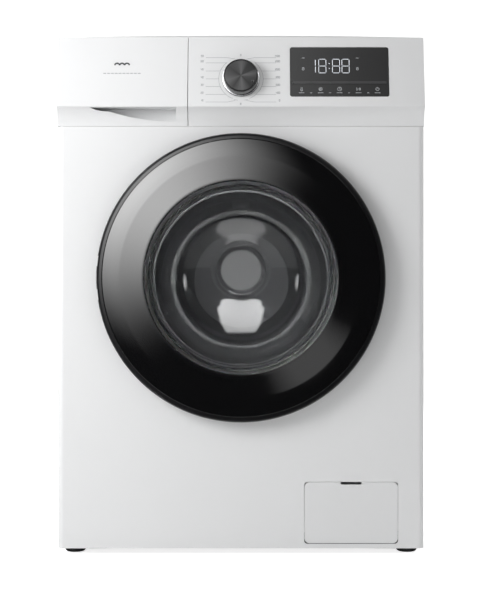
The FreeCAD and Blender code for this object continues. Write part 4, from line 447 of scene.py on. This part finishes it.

# ---------------------------------------------------------------- knob
# A turned black body on a dark skirt, a bright ring round its foot, and a face of spun metal with fine circular
# scratches; its highlights, two opposite fans, are painted into its colour. One small dimple marks where it points.


def rounded_line(corners, radii, steps=6):
    """A profile through corners, each one replaced by a circular arc of its own radius that touches both its sides."""
    corners = [np.array(c, float) for c in corners]
    points = [corners[0]]
    for before, here, after, radius in zip(corners, corners[1:], corners[2:], radii):
        a, b = before - here, after - here
        la, lb = np.linalg.norm(a), np.linalg.norm(b)
        a, b = a / la, b / lb
        half = math.acos(float(np.clip(a @ b, -1, 1))) / 2
        reach = min(radius / math.tan(half), la * 0.49, lb * 0.49)
        radius = reach * math.tan(half)
        if radius < 1e-7 or half > math.pi / 2 - 1e-3:
            points.append(here)
            continue
        centre = here + (a + b) / np.linalg.norm(a + b) * radius / math.sin(half)
        start, stop = here + a * reach - centre, here + b * reach - centre
        sweep_by = math.atan2(start[0] * stop[1] - start[1] * stop[0], start @ stop)
        for k in range(steps + 1):
            t = sweep_by * k / steps
            turned_by = np.array([start[0] * math.cos(t) - start[1] * math.sin(t),
                                  start[0] * math.sin(t) + start[1] * math.cos(t)])
            points.append(centre + turned_by)
    points.append(corners[-1])
    return np.array(points)


def lathe(name, profile, origin, axis, count=192, closed=True):
    """A profile of (distance along the axis, radius) points, turned round the axis: point = origin + distance axis
    + radius (cos a u + sin a v), with u and v square to the axis."""
    axis = np.asarray(axis, float)
    u = np.array([1.0, 0.0, 0.0])
    v = np.cross(axis, u)
    a = np.linspace(0, 2 * math.pi, count, endpoint=False)
    around = np.cos(a)[:, None] * u + np.sin(a)[:, None] * v
    p = np.asarray(profile, float)
    points = np.asarray(origin, float) + p[None, :, 0, None] * axis + p[None, :, 1, None] * around[:, None, :]
    made = mesh_piece(name, points.reshape(-1, 3), grid_faces(count, len(p), wrap_rows=True, wrap_columns=closed))
    turn_outwards(made, merge=1e-7)
    return made


knob_at = np.array(knob_joint["pos_m"], float)
body_profile = rounded_line(
    [(1.0, 3.2), (0.6, 27.5), (3.0, 28.9), (16.2, 27.9), (17.0, 26.6), (16.0, 26.0), (15.6, 3.2)],
    [0, 1.2, 0.9, 0.5, 0.3])
skirt_profile = rounded_line([(0.4, 24.0), (0.4, 30.5), (2.3, 30.5), (3.1, 29.2), (3.1, 24.0)], [0.1, 0.6, 0.5])
ring_profile = rounded_line([(3.1, 27.5), (3.2, 30.3), (4.3, 30.0), (4.4, 28.3)], [0.3, 0.3])
face_profile = np.array([(15.9, 0.0), (16.5, 25.0), (16.35, 25.9), (15.7, 25.9), (15.7, 0.0)])
gloss_black = finish("gloss_black", (0.012, 0.012, 0.013), 0.12, coat=1.0, tint=0.05, height=0.000002)
bright_trim = finish("bright_trim", (0.78, 0.78, 0.80), 0.16, metallic=1, tint=0.02)
for name, profile, paint, slot in (("knob_grip", body_profile, gloss_black, "knob_black"),
                                   ("knob_skirt", skirt_profile, gloss_black, "knob_black"),
                                   ("knob_ring", ring_profile, bright_trim, "brushed_disc")):
    piece = lathe(name, profile * MM, knob_at, fascia_normal)
    wear(paint, name)
    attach(piece, "knob")
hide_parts("programme_knob")


def spun_metal_painted_highlights():
    """Spun metal with painted highlights: the colour's brightness follows the bearing round the face, in two wide
    fan-shaped highlights and two narrow ones, with fine scratches that are noise stretched along each circle's radius."""
    made = bpy.data.materials.new("spun_metal_painted_highlights")
    made.use_nodes = True
    tree = made.node_tree
    shader = tree.nodes["Principled BSDF"]
    place, spread, painted_highlight_ramp = nodes_of(tree, "TexCoord", "VectorMath", "ValToRGB")
    spread.operation = "SUBTRACT"
    spread.inputs[1].default_value = tuple(knob_at)
    tree.links.new(place.outputs["Object"], spread.inputs[0])
    across, along = [nodes_of(tree, "VectorMath")[0] for _ in range(2)]
    for node, way in ((across, (1, 0, 0)), (along, tuple(fascia_up))):
        node.operation = "DOT_PRODUCT"
        node.inputs[1].default_value = way
        tree.links.new(spread.outputs[0], node.inputs[0])
    bearing = maths(tree, "ARCTAN2", along.outputs["Value"], across.outputs["Value"])
    bearing = maths(tree, "ADD", maths(tree, "DIVIDE", bearing, 2 * math.pi), 0.5)
    scratches = nodes_of(tree, "TexNoise")[0]
    scratches.noise_dimensions = "1D"
    scratches.inputs["Scale"].default_value = 60
    scratches.inputs["Detail"].default_value = 6
    tree.links.new(bearing, scratches.inputs["W"])
    jitter = maths(tree, "MULTIPLY_ADD", scratches.outputs[0], 0.03, maths(tree, "SUBTRACT", bearing, 0.015))
    tree.links.new(jitter, painted_highlight_ramp.inputs[0])
    # Painted highlights: each pair is a bearing round the face and the brightness painted into the colour there.
    # Bearing 0 is -x, then round through below the centre, +x and above it.
    painted_highlight_fans = ((0.0, 0.06), (0.06, 0.10), (0.16, 0.03), (0.27, 0.16), (0.37, 0.05), (0.47, 0.10), (0.53, 0.20),
            (0.58, 0.06), (0.66, 0.05), (0.74, 0.16), (0.80, 0.08), (0.90, 0.03), (1.0, 0.06))
    elements = painted_highlight_ramp.color_ramp.elements
    elements[0].position, elements[1].position = painted_highlight_fans[0][0], painted_highlight_fans[-1][0]
    for position, _ in painted_highlight_fans[1:-1]:
        elements.new(position)
    for element, (_, tone) in zip(elements, painted_highlight_fans):
        element.color = (tone * 0.5, tone * 0.5, tone * 0.51, 1)
    tree.links.new(painted_highlight_ramp.outputs[0], shader.inputs["Base Color"])
    shader.inputs["Metallic"].default_value = 0.55
    shader.inputs["Roughness"].default_value = 0.34
    return made


face = lathe("knob_face", face_profile * MM, knob_at, fascia_normal, closed=True)
face.data.materials.append(spun_metal_painted_highlights())
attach(face, "knob")
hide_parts("knob_disc")
dimple_bearing = math.radians(-28)
dimple_way = math.cos(dimple_bearing) * np.array([1, 0, 0]) + math.sin(dimple_bearing) * fascia_up
dimple_at = knob_at + 21.4 * MM * dimple_way
dimple_profile = np.array([(16.3, 0.0), (16.62, 0.9), (16.95, 1.5), (16.75, 1.9), (16.3, 1.95)])
dimple = lathe("knob_pointer", dimple_profile * MM, dimple_at, fascia_normal, count=32)
wear(gloss_black, "knob_pointer")
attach(dimple, "knob")

# ---------------------------------------------------------------- display
# A smoked window, its colour painted darker to the right as shade, over white segment digits; below them a grooved
# row of five gloss keys, each with a small lit sign under it.

window_low, window_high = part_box("display_window")


def painted_light_window():
    """Smoked plastic with painted light: its colour is a shade lighter at its left and top, where the light falls:
    tone = a ramp over x plus a little of the height.
    """
    made = bpy.data.materials.new("smoked_window")
    made.use_nodes = True
    tree = made.node_tree
    shader = tree.nodes["Principled BSDF"]
    place, parts, ramp = nodes_of(tree, "TexCoord", "SeparateXYZ", "ValToRGB")
    tree.links.new(place.outputs["Object"], parts.inputs[0])
    span = window_high.x - window_low.x
    share = maths(tree, "DIVIDE", maths(tree, "SUBTRACT", parts.outputs[0], window_low.x), span)
    painted_top_light = maths(tree, "MULTIPLY", maths(tree, "SUBTRACT", window_high.z, parts.outputs[2]), 2.0)
    tree.links.new(maths(tree, "ADD", share, painted_top_light, clamp=True), ramp.inputs[0])
    ramp.color_ramp.elements[0].color = (0.016, 0.0165, 0.017, 1)
    ramp.color_ramp.elements[1].color = (0.003, 0.003, 0.0035, 1)
    ramp.color_ramp.elements[1].position = 0.75
    tree.links.new(ramp.outputs[0], shader.inputs["Base Color"])
    shader.inputs["Roughness"].default_value = 0.16
    return made


wear(painted_light_window(), "display_window")
key_nodes = [name for name in frame["nodes"] if name.startswith("key_")]
key_gloss = finish("key_gloss", (0.022, 0.0225, 0.024), 0.22, coat=0.2, tint=0.05)
wear(key_gloss, *key_nodes)


def lit(name, strength, color=(0.9, 0.93, 1.0)):
    """A softly glowing print."""
    made = finish(name, color, 0.5, tint=0.0, spread=0.0)
    shader = made.node_tree.nodes["Principled BSDF"]
    shader.inputs["Emission Color"].default_value = (*color, 1)
    shader.inputs["Emission Strength"].default_value = strength
    return made


window_base = 15.8 * MM
digit_height = 23.5 * MM
digit_rise = 43.5 * MM + window_base - 3 * MM
digit_lines_all = []
for text, x in (("18", 119.5), ("88", 148.5)):
    for i, character in enumerate(text):
        left = (x + i * (15.5 if text == "88" else 6.8)) * MM
        pulled = 10.4 * MM if character == "1" else 0
        digit_lines_all += digit_lines(character, left - pulled, digit_rise, digit_height, gap=0.9 * MM)
digits = strokes("display_digits", digit_lines_all, 0.65 * MM)
colon_x = 143.4 * MM
dots = [circle_line(colon_x, digit_rise + k * digit_height, 0.35 * MM, 0, 360, 10) for k in (0.32, 0.68)]
colon = strokes("display_colon", dots, 0.7 * MM)
sign_x = np.array([98.2, 128.9, 159.6, 190.3, 221.0]) * MM
sign_rise = window_base + 11.0 * MM
signs = []
x = sign_x[0]
signs += [circle_line(x, sign_rise, 1.5 * MM, 130, 410, 20),
          np.array([[x - 0.9 * MM, sign_rise + 1.2 * MM], [x - 0.9 * MM, sign_rise + 5 * MM]]),
          np.array([[x + 0.9 * MM, sign_rise + 1.2 * MM], [x + 0.9 * MM, sign_rise + 5 * MM]])]
x = sign_x[1]
signs += [circle_line(x, sign_rise + 1.8 * MM, 2.7 * MM), circle_line(x, sign_rise + 1.8 * MM, 1.2 * MM),
          np.array([[x - 2.7 * MM, sign_rise + 1.8 * MM], [x - 1.2 * MM, sign_rise + 1.8 * MM]])]
x = sign_x[2]
signs += [circle_line(x, sign_rise + 1.8 * MM, 3.1 * MM),
          np.array([[x, sign_rise + 4.2 * MM], [x, sign_rise + 1.8 * MM], [x + 1.7 * MM, sign_rise + 1.2 * MM]])]
x = sign_x[3]
signs += [np.array([[x - 3 * MM, sign_rise - 0.6 * MM], [x + 0.2 * MM, sign_rise + 1.8 * MM],
                    [x - 3 * MM, sign_rise + 4.2 * MM], [x - 3.001 * MM, sign_rise - 0.6 * MM]])]
signs += [np.array([[x + d * MM, sign_rise - 0.4 * MM], [x + d * MM, sign_rise + 4.0 * MM]]) for d in (1.6, 3.0)]
x = sign_x[4]
signs += [circle_line(x, sign_rise + 1.8 * MM, 2.6 * MM, 120, 420, 28),
          np.array([[x, sign_rise + 2.6 * MM], [x, sign_rise + 5.2 * MM]])]
for x in sign_x:
    signs.append(np.array([[x - 4.6 * MM, sign_rise - 4.6 * MM], [x + 4.6 * MM, sign_rise - 4.6 * MM]]))
for x in (sign_x[:-1] + sign_x[1:]) / 2:
    signs.append(np.array([[x - 1.6 * MM, sign_rise - 4.6 * MM], [x + 1.6 * MM, sign_rise - 4.6 * MM]]))
bar_rise, lamp_rise = 66 * MM + window_base, 47 * MM + window_base
for x in (101 * MM, 189 * MM):
    signs += [np.array([[x - 2.4 * MM, bar_rise], [x + 2.4 * MM, bar_rise]]), circle_line(x, lamp_rise, 1.7 * MM),
              np.array([[x - 1.7 * MM, lamp_rise + 2.6 * MM], [x + 1.7 * MM, lamp_rise + 2.6 * MM]])]
sign_marks = strokes("display_signs", signs, 0.5 * MM)
digit_glow, sign_glow = lit("digit_glow", 0.75), lit("sign_glow", 0.18, (0.62, 0.64, 0.66))
for piece, paint in ((digits, digit_glow), (colon, digit_glow), (sign_marks, sign_glow)):
    wear(paint, piece.name)
    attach(piece, "cabinet")

# ---------------------------------------------------------------- door
# Outer ring: a shallow dome of dark lacquered plastic with one soft crease, gripped by a darker rim. The glass is a
# pressed bowl with a flat nose above its middle; behind it the inner frame carries the hinge and hook.

ring_low, ring_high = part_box("door_outer_ring")
door_at = np.array([0.0, FRONT, (ring_low.z + ring_high.z) / 2])
INTO = (0.0, 1.0, 0.0)


def door_ring_profile():
    """Two cones that meet at the crease, the outer one steeper and swelling by a sine, then the lip inwards."""
    t = np.linspace(0, 1, 16)[:, None]
    outer = np.array([-31.0, 223.5]) * (1 - t) + np.array([-38.3, 195.6]) * t
    outer[:, 0] -= 0.35 * np.sin(t[:, 0] * math.pi)
    inner = np.array([-38.42, 195.0]) * (1 - t) + np.array([-44.7, 157.6]) * t
    lip = rounded_line([(-44.7, 157.6), (-44.9, 154.2), (-35.0, 154.0), (-35.0, 157.0), (-39.5, 158.5),
                        (-32.5, 195.0), (-27.5, 222.5), (-27.6, 223.5)], [1.3, 0.4, 0.4, 1, 3, 0.3])
    return np.concatenate([outer, inner, lip[1:]])


smoked_gloss = finish("smoked_gloss", (0.0035, 0.0035, 0.004), 0.11, coat=1.0, scale=2500, tint=0.1, spread=0.02,
                      height=0.0, ior=1.6)
rim_gloss = finish("rim_gloss", (0.009, 0.009, 0.010), 0.30, coat=0.08, tint=0.05, height=0.0)
ring = lathe("door_ring", door_ring_profile() * MM, door_at, INTO, count=288)
wear(smoked_gloss, "door_ring")
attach(ring, "door")
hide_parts("door_outer_ring")
wear(rim_gloss, "door_bezel", "door_inner_frame")

hinge_metal = finish("die_cast_zinc", (0.42, 0.43, 0.45), 0.42, metallic=1, scale=500, tint=0.05, height=0.00002)
wear(hinge_metal, "hinge_bracket", "hinge_leaf", "latch_hook")

# ---------------------------------------------------------------- glass bowl
# Pressed glass 6 mm thick: a flange clamped under the ring, a wall that narrows, and a flat round nose.


def smooth_run(knots, steps):
    """A smooth line through knots: each span is the cubic that leaves and meets its ends along the chord between
    their neighbours."""
    p = np.asarray(knots, float)
    slope = np.gradient(p, axis=0)
    t = np.linspace(0, len(p) - 1, steps)
    i = np.minimum(t.astype(int), len(p) - 2)
    f = (t - i)[:, None]
    a, b, da, db = p[i], p[i + 1], slope[i], slope[i + 1]
    return (2 * f ** 3 - 3 * f ** 2 + 1) * a + (f ** 3 - 2 * f ** 2 + f) * da + (3 * f ** 2 - 2 * f ** 3) * b + (
        f ** 3 - f ** 2) * db


def bowl_rings(profile, count=192):
    """Rings of points: each profile row gives (depth, radius, rise of the ring's centre)."""
    a = np.linspace(0, 2 * math.pi, count, endpoint=False)
    depth, radius, rise = np.asarray(profile, float).T
    return np.stack([radius[:, None] * np.cos(a), np.repeat(depth[:, None], count, 1),
                     radius[:, None] * np.sin(a) + rise[:, None]], -1)


def glass_bowl():
    """Outer wall from the flange to the flat nose, then the inner wall back, 6 mm inside it along its normal."""
    wall = smooth_run([(-28.5, 151.5, 0), (0, 149.5, 0), (20, 147.6, 0.4), (38, 142.5, 1.1), (56, 134.5, 2.6),
                       (72, 124.5, 4.4), (85, 112, 6.8), (94.6, 99, 9.1), (102.4, 84, 11), (109, 68.5, 12.7),
                       (115, 54, 14.1), (119.6, 46.4, 15)], 96)
    tangent = np.gradient(wall[:, :2], axis=0)
    tangent /= np.linalg.norm(tangent, axis=1)[:, None]
    inner = wall.copy()
    inner[:, 0] += 6 * tangent[:, 1]
    inner[:, 1] -= 6 * tangent[:, 0]
    nose = [(121.5, 45.2, 15), (122.1, 43.9, 15), (122.2, 42.6, 15), (122.2, 41.8, 15), (122.2, 28, 15),
            (122.2, 14, 15), (122.2, 0, 15)]
    floor_in = [(116.2, 0, 15), (116.2, 14, 15), (116.2, 28, 15), (116.2, 39.6, 15), (116.1, 40.5, 15),
                (115.6, 41.8, 15)]
    flange = [(-35, 146.5, 0), (-36.4, 147.6, 0), (-37.2, 149.4, 0), (-36.8, 151.4, 0), (-35.2, 152.6, 0), (-35, 167, 0),
              (-34, 168, 0), (-30.2, 168, 0), (-29.2, 167, 0), (-29.2, 153.2, 0)]
    inside = inner[inner[:, 0] > -30][::-1]
    profile = np.concatenate([flange, wall, nose, floor_in, inside])
    rings = bowl_rings(profile)
    made = mesh_piece("glass_bowl", (door_at + rings * MM).reshape(-1, 3),
                      grid_faces(*rings.shape[:2], wrap_rows=True, wrap_columns=True))
    turn_outwards(made, merge=1e-7)
    return made


def ground_edge():
    """Ground glass at the rim: roughness climbs smoothly where the distance from the door's axis passes 147 mm."""
    group = bpy.data.node_groups.new("ground_edge", "ShaderNodeTree")
    group.interface.new_socket("Roughness", in_out="OUTPUT", socket_type="NodeSocketFloat")
    place, flat, length = nodes_of(group, "TexCoord", "VectorMath", "VectorMath")
    flat.operation, length.operation = "MULTIPLY_ADD", "LENGTH"
    flat.inputs[1].default_value = (1, 0, 1)
    flat.inputs[2].default_value = (0, 0, -door_at[2])
    group.links.new(place.outputs["Object"], flat.inputs[0])
    group.links.new(flat.outputs[0], length.inputs[0])
    edge = maths(group, "MULTIPLY", maths(group, "SUBTRACT", length.outputs["Value"], 0.1475), 350.0, clamp=True)
    rough = maths(group, "MULTIPLY", edge, 0.5)
    out = group.nodes.new("NodeGroupOutput")
    group.links.new(rough, out.inputs["Roughness"])
    return group


bowl = glass_bowl()
clear_glass = finish("clear_glass", (0.90, 0.91, 0.92), 0.0, tint=0.0, spread=0.0, height=0.0, ior=1.47,
                     transmission_weight=1.0)
glass_edge = clear_glass.node_tree.nodes.new("ShaderNodeGroup")
glass_edge.node_tree = ground_edge()
clear_glass.node_tree.links.new(glass_edge.outputs["Roughness"],
                                clear_glass.node_tree.nodes["Principled BSDF"].inputs["Roughness"])
bowl.data.materials.append(clear_glass)
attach(bowl, "door")
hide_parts("door_glass")

# ---------------------------------------------------------------- soft parts
# Rubber bellows round the door's mouth, coiled springs, hoses with moulded rings, and a ribbed belt.

rubber_grey = finish("grey_rubber", (0.44, 0.445, 0.45), 0.6, scale=900, tint=0.08, height=0.00005)
rubber_black = finish("black_rubber", (0.02, 0.02, 0.02), 0.55, scale=900, tint=0.1, height=0.00004)
gasket_profile = rounded_line(
    [(22, 172.4), (17.5, 172.4), (17.5, 174.7), (30, 174.7), (38, 166), (42, 170.6), (46, 164), (50, 169.6), (54, 164.4),
     (58.5, 171.7), (82, 171.7), (82, 169.2), (60, 169.2), (54.2, 161.8), (50, 166.8), (46, 161.4), (42, 167.9),
     (37.4, 163.1), (29, 172.2), (22, 172.2), (21.5, 165.5), (27.5, 152.2), (25.4, 150.4), (17.8, 163.5), (18.2, 172.2)],
    [0.5, 0.8, 3, 3, 1.6, 1.6, 1.6, 2, 2, 0.8, 0.8, 2, 2, 1.4, 1.4, 1.4, 2, 3, 1.2, 2, 1.0, 0.8, 2], steps=4)
gasket = lathe("gasket_bellows", gasket_profile * MM, door_at, INTO, count=160)
wear(rubber_grey, "gasket_bellows")
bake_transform(gasket)
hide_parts("door_gasket")


def tube(name, path, radii, sides=16, bore=None):
    """A round tube along a path of points: each ring lies square to the path, turned on from the ring before it; its
    ends are closed, or sunk to a bore of a radius and a depth."""
    p = np.asarray(path, float)
    way = np.gradient(p, axis=0)
    way /= np.linalg.norm(way, axis=1)[:, None]
    u = np.zeros_like(p)
    u[0] = np.cross(way[0], [0.0, 0.0, 1.0] if abs(way[0][2]) < 0.9 else [1.0, 0.0, 0.0])
    for k in range(1, len(p)):
        u[k] = u[k - 1] - way[k] * (u[k - 1] @ way[k])
    u /= np.linalg.norm(u, axis=1)[:, None]
    v = np.cross(way, u)
    a = np.linspace(0, 2 * math.pi, sides, endpoint=False)
    around = np.cos(a)[None, :, None] * u[:, None] + np.sin(a)[None, :, None] * v[:, None]
    rings = p[:, None] + np.broadcast_to(np.asarray(radii, float), len(p))[:, None, None] * around
    first = np.repeat(p[:1, None], sides, 1)
    last = np.repeat(p[-1:, None], sides, 1)
    if bore:
        near = p[0] + bore[0] * around[:1]
        sunk = near + way[0] * bore[1]
        first = np.concatenate([np.repeat((p[0] + way[0] * bore[1])[None, None], sides, 1), sunk, near])
    rings = np.concatenate([first, rings, last])
    made = mesh_piece(name, rings.reshape(-1, 3), grid_faces(*rings.shape[:2], wrap_columns=True))
    turn_outwards(made, merge=1e-8)
    return made


def bent_route(corners, bend, step):
    """Points at even steps along straight runs whose corners are quarter circles of one radius."""
    c = [np.array(p, float) for p in corners]
    points = [c[0]]
    for before, here, after in zip(c, c[1:], c[2:]):
        a = (before - here) / np.linalg.norm(before - here)
        b = (after - here) / np.linalg.norm(after - here)
        centre = here + (a + b) * bend
        t = np.linspace(0, math.pi / 2, 24)[:, None]
        points.extend(centre - b * bend * np.cos(t) - a * bend * np.sin(t))
    points.append(c[-1])
    p = np.array(points)
    gone = np.concatenate([[0], np.cumsum(np.linalg.norm(np.diff(p, axis=0), axis=1))])
    keep = np.concatenate([[True], np.diff(gone) > 1e-9])
    p, gone = p[keep], gone[keep]
    at = np.linspace(0, gone[-1], max(int(gone[-1] / step), 2))
    return np.stack([np.interp(at, gone, p[:, k]) for k in range(3)], -1), at


def ringed(at, radius, depth, pitch, cuff):
    """The radius along a ringed hose: a cosine between the full radius and the groove, and smooth cuffs at the ends."""
    inner = np.clip(np.minimum(at - cuff, at[-1] - cuff - at) / 0.004, 0, 1)
    return radius - depth * inner * (0.5 - 0.5 * np.cos(2 * math.pi * at / pitch))


spring_low, spring_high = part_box("suspension_springs")
spring_y = (spring_low.y + spring_high.y) / 2
for side, name in ((-1, "left"), (1, "right")):
    spring_x = side * (spring_high.x - 14 * MM)
    s_line = np.linspace(0, 1, 17 * 28)
    turns_by = 2 * math.pi * 17 * s_line
    swell = np.clip(np.minimum(s_line, 1 - s_line) / 0.03, 0, 1) ** 0.7
    radius_line = 11.4 * MM * swell
    low_z, high_z = spring_low.z + 16 * MM, spring_high.z - 14 * MM
    coil = np.stack([spring_x + radius_line * np.cos(turns_by), spring_y + radius_line * np.sin(turns_by),
                     low_z + (high_z - low_z) * s_line], -1)
    foot = np.array([[spring_x, spring_y, spring_low.z + 1 * MM], [spring_x, spring_y, spring_low.z + 9 * MM]])
    head = np.array([[spring_x, spring_y, spring_high.z - 8 * MM], [spring_x, spring_y, spring_high.z - 0.5 * MM]])
    spring = tube(f"coil_spring_{name}", np.concatenate([foot, coil, head]), 1.9 * MM, sides=10)
    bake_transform(spring)
    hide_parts("suspension_springs")

hose_low, hose_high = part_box("tub_hoses")
fill_x, fill_y = hose_low.x + 20 * MM, -32.5 * MM
fill_path, fill_at = bent_route([(fill_x, fill_y, hose_high.z - 29.4 * MM), (fill_x, fill_y, hose_high.z)], 0.001, 0.0006)
fill = tube("fill_bellows", fill_path, ringed(fill_at, 20 * MM, 2.6 * MM, 5.2 * MM, 0.004), sides=40)
sump_route = [(78 * MM, -125.5 * MM, 193 * MM), (78 * MM, -125.5 * MM, 80 * MM), (118.4 * MM, -125.5 * MM, 80 * MM)]
sump_path, sump_at = bent_route(sump_route, 26 * MM, 0.0010)
sump = tube("sump_bellows", sump_path, ringed(sump_at, 15 * MM, 2.0 * MM, 6.5 * MM, 0.014), sides=32)
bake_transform(fill)
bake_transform(sump)
for piece in (fill, sump):
    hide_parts("tub_hoses")

drain_route = [(229.4, -177.5, 80), (262, -177.5, 80), (262, -57.5, 80), (262, -57.5, 180), (262, 222.5, 180),
               (262, 222.5, 95), (262, 253.0, 95)]
drain_path, drain_at = bent_route(np.array(drain_route) * MM, 26 * MM, 0.0011)
drain = tube("drain_hose_ringed", drain_path, ringed(drain_at, 10.4 * MM, 1.3 * MM, 5.0 * MM, 0.022), sides=20)
outlet_at = np.array([262 * MM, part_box("cabinet_shell")[1].y, 95 * MM])
outlet_profile = rounded_line([(-10, 0), (-10, 10.4), (0.3, 10.4), (0.3, 15.4), (2.7, 15.4), (2.7, 10.45), (19, 10.45), (19, 8),
                               (-9, 8), (-9, 0)], [0.4, 0.2, 0.5, 0.8, 0.6, 0.8, 0.5, 0.3])
outlet = lathe("drain_outlet_spigot", outlet_profile * MM, outlet_at, INTO, count=64, closed=False)
feed_path, feed_at = bent_route([(-256 * MM, 31.8 * MM, 768 * MM), (-256 * MM, 198.2 * MM, 768 * MM)], 0.001, 0.001)
feed = tube("feed_hose_smooth", feed_path,
            (11.2 + 0.8 * np.clip(np.cos(np.minimum(feed_at, feed_at[-1] - feed_at) / 0.010 * math.pi * 0.5), 0, 1) ** 0.5
             * (np.minimum(feed_at, feed_at[-1] - feed_at) < 0.010)) * MM, sides=32, bore=(6 * MM, 8 * MM))
for piece in (drain, outlet, feed):
    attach(piece, "cabinet")
    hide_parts("fixed_hoses")


def ribbed_belt():
    """Belt: a flat back and five ribs below it, swept round the line that hugs a large and a small circle from outside;
    on each circle the bearing runs between the two tangent points, whose bearing is the arc cosine of (R - r) / d."""
    belt_low, belt_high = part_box("drive_belt")
    large, small, apart = 138.9 * MM, 10.9 * MM, 330 * MM
    top = np.array([0.0, (belt_low.y + belt_high.y) / 2, door_at[2]])
    low = top - np.array([0, 0, apart])
    lean_by = math.acos((large - small) / apart)
    a = np.linspace(-math.pi / 2 + lean_by, 3 * math.pi / 2 - lean_by, 200)
    b = np.linspace(3 * math.pi / 2 - lean_by, 3 * math.pi / 2 + lean_by, 40)
    normals, centres = [], []
    for angles, at, radius in ((a, top, large), (b, low, small)):
        normal = np.stack([np.cos(angles), np.zeros_like(angles), np.sin(angles)], -1)
        normals.append(normal)
        centres.append(at + normal * radius)
    left_t = np.linspace(0, 1, 42)[1:-1, None]
    run_a = centres[0][-1] * (1 - left_t) + centres[1][0] * left_t
    run_b = centres[1][-1] * (1 - left_t) + centres[0][0] * left_t
    centre = np.concatenate([centres[0], run_a, centres[1], run_b])
    normal = np.concatenate([normals[0], np.repeat(normals[0][-1:], 40, 0), normals[1], np.repeat(normals[0][:1], 40, 0)])
    across = [(-6, 1.4), (6, 1.4)]
    for rib in range(5):
        mid = 4.8 - rib * 2.4
        across += [(mid + 1.1, -0.5), (mid + 0.45, -1.4), (mid - 0.45, -1.4), (mid - 1.1, -0.5)]
    across = np.array(across) * MM
    points = (centre[:, None] + across[None, :, 1, None] * normal[:, None]
              + across[None, :, 0, None] * np.array([0, 1.0, 0]))
    made = mesh_piece("ribbed_belt", points.reshape(-1, 3),
                      grid_faces(len(centre), len(across), wrap_rows=True, wrap_columns=True), smooth=False)
    turn_outwards(made)
    return made


belt = ribbed_belt()
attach(belt, "tub")
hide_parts("drive_belt")
wear(rubber_black, "fill_bellows", "sump_bellows", "drain_hose_ringed", "drain_outlet_spigot", "feed_hose_smooth",
     "ribbed_belt")

# ---------------------------------------------------------------- inside the machine
# Polished stainless drum with punched holes, moulded tub, cast weights, wound motor and the smaller fittings.

stainless = finish("polished_stainless", (0.50, 0.50, 0.51), 0.30, metallic=1, scale=200, tint=0.03, spread=0.08)
tub_poly = finish("filled_polypropylene", (0.62, 0.63, 0.62), 0.5, scale=700, tint=0.04, height=0.00003)
concrete = finish("cast_weight", (0.36, 0.355, 0.34), 0.85, scale=350, tint=0.2, height=0.0003)
aluminium = finish("cast_aluminium", (0.62, 0.62, 0.63), 0.42, metallic=1, scale=300, tint=0.08, height=0.00006)
nickel = finish("heater_sheath", (0.5, 0.5, 0.5), 0.3, metallic=1, tint=0.08)
motor_paint = finish("motor_case", (0.12, 0.125, 0.13), 0.5, metallic=0.3, tint=0.08)
board_green = finish("circuit_board", (0.02, 0.12, 0.06), 0.4, tint=0.1)
grey_moulding = finish("grey_moulding", (0.28, 0.29, 0.30), 0.5, tint=0.05, height=0.00002)
foot_rubber = finish("foot_rubber", (0.02, 0.02, 0.022), 0.45, scale=900, tint=0.1, height=0.00005, dust=0.06)
zinc = finish("zinc_plating", (0.66, 0.66, 0.68), 0.3, metallic=1, tint=0.05)


def punched():
    """Holes punched in a staggered grid round the drum: alpha is 0 where a point of the wall lies nearer than 1.7 mm to
    the middle of its cell, measured round the axis and along it."""
    group = bpy.data.node_groups.new("punched_holes", "ShaderNodeTree")
    group.interface.new_socket("Alpha", in_out="OUTPUT", socket_type="NodeSocketFloat")
    place, parts = nodes_of(group, "TexCoord", "SeparateXYZ")
    group.links.new(place.outputs["Object"], parts.inputs[0])
    high = maths(group, "SUBTRACT", parts.outputs[2], float(door_at[2]))
    bearing = maths(group, "ARCTAN2", high, parts.outputs[0])
    pitch = 13 * MM
    along = maths(group, "DIVIDE", parts.outputs[1], pitch)
    row = maths(group, "FLOOR", along)
    around = maths(group, "MULTIPLY_ADD", bearing, 117 / (2 * math.pi),
                   maths(group, "MULTIPLY", maths(group, "MODULO", maths(group, "ABSOLUTE", row), 2.0), 0.5))
    dx = maths(group, "SUBTRACT", maths(group, "FRACT", maths(group, "ADD", around, 200.0)), 0.5)
    dy = maths(group, "SUBTRACT", maths(group, "SUBTRACT", along, row), 0.5)
    off = maths(group, "SQRT", maths(group, "ADD", maths(group, "MULTIPLY", dx, dx), maths(group, "MULTIPLY", dy, dy)))
    reach = maths(group, "SQRT", maths(group, "ADD", maths(group, "MULTIPLY", high, high),
                                       maths(group, "MULTIPLY", parts.outputs[0], parts.outputs[0])))
    wall = maths(group, "GREATER_THAN", reach, 0.2415)
    hole = maths(group, "MULTIPLY", maths(group, "LESS_THAN", off, 0.135), wall)
    out = group.nodes.new("NodeGroupOutput")
    group.links.new(maths(group, "SUBTRACT", 1.0, hole), out.inputs["Alpha"])
    return group


# The drum's back: satin stainless whose colour is darkened to 0.2 as painted shade for the inside of the drum.
shaded_stainless = finish("stainless_painted_shade", (0.20, 0.20, 0.205), 0.42, metallic=1, scale=200, tint=0.05, spread=0.08)
wear(shaded_stainless, "drum_back")
wear(stainless, "drum_bearings", "motor_pulley")
holed = stainless.copy()
holed.name = "punched_stainless"
holes = holed.node_tree.nodes.new("ShaderNodeGroup")
holes.node_tree = punched()
holed.node_tree.links.new(holes.outputs["Alpha"], holed.node_tree.nodes["Principled BSDF"].inputs["Alpha"])
wear(holed, "drum_shell")
wear(tub_poly, "tub_front", "tub_rear")
wear(concrete, "counterweights")
wear(aluminium, "drum_spider", "drum_pulley")
wear(nickel, "heating_element", "coil_spring_left", "coil_spring_right")
wear(motor_paint, "motor")
wear(board_green, "control_boards")
wear(grey_moulding, "programme_switch", "drum_lifters", "damper_cylinder_left", "damper_cylinder_right")
wear(black_moulding, "damper_rod_left", "damper_rod_right")
wear(foot_rubber, *[n for n in frame["nodes"] if n.startswith("foot_")])
wear(zinc, "cabinet_screws")
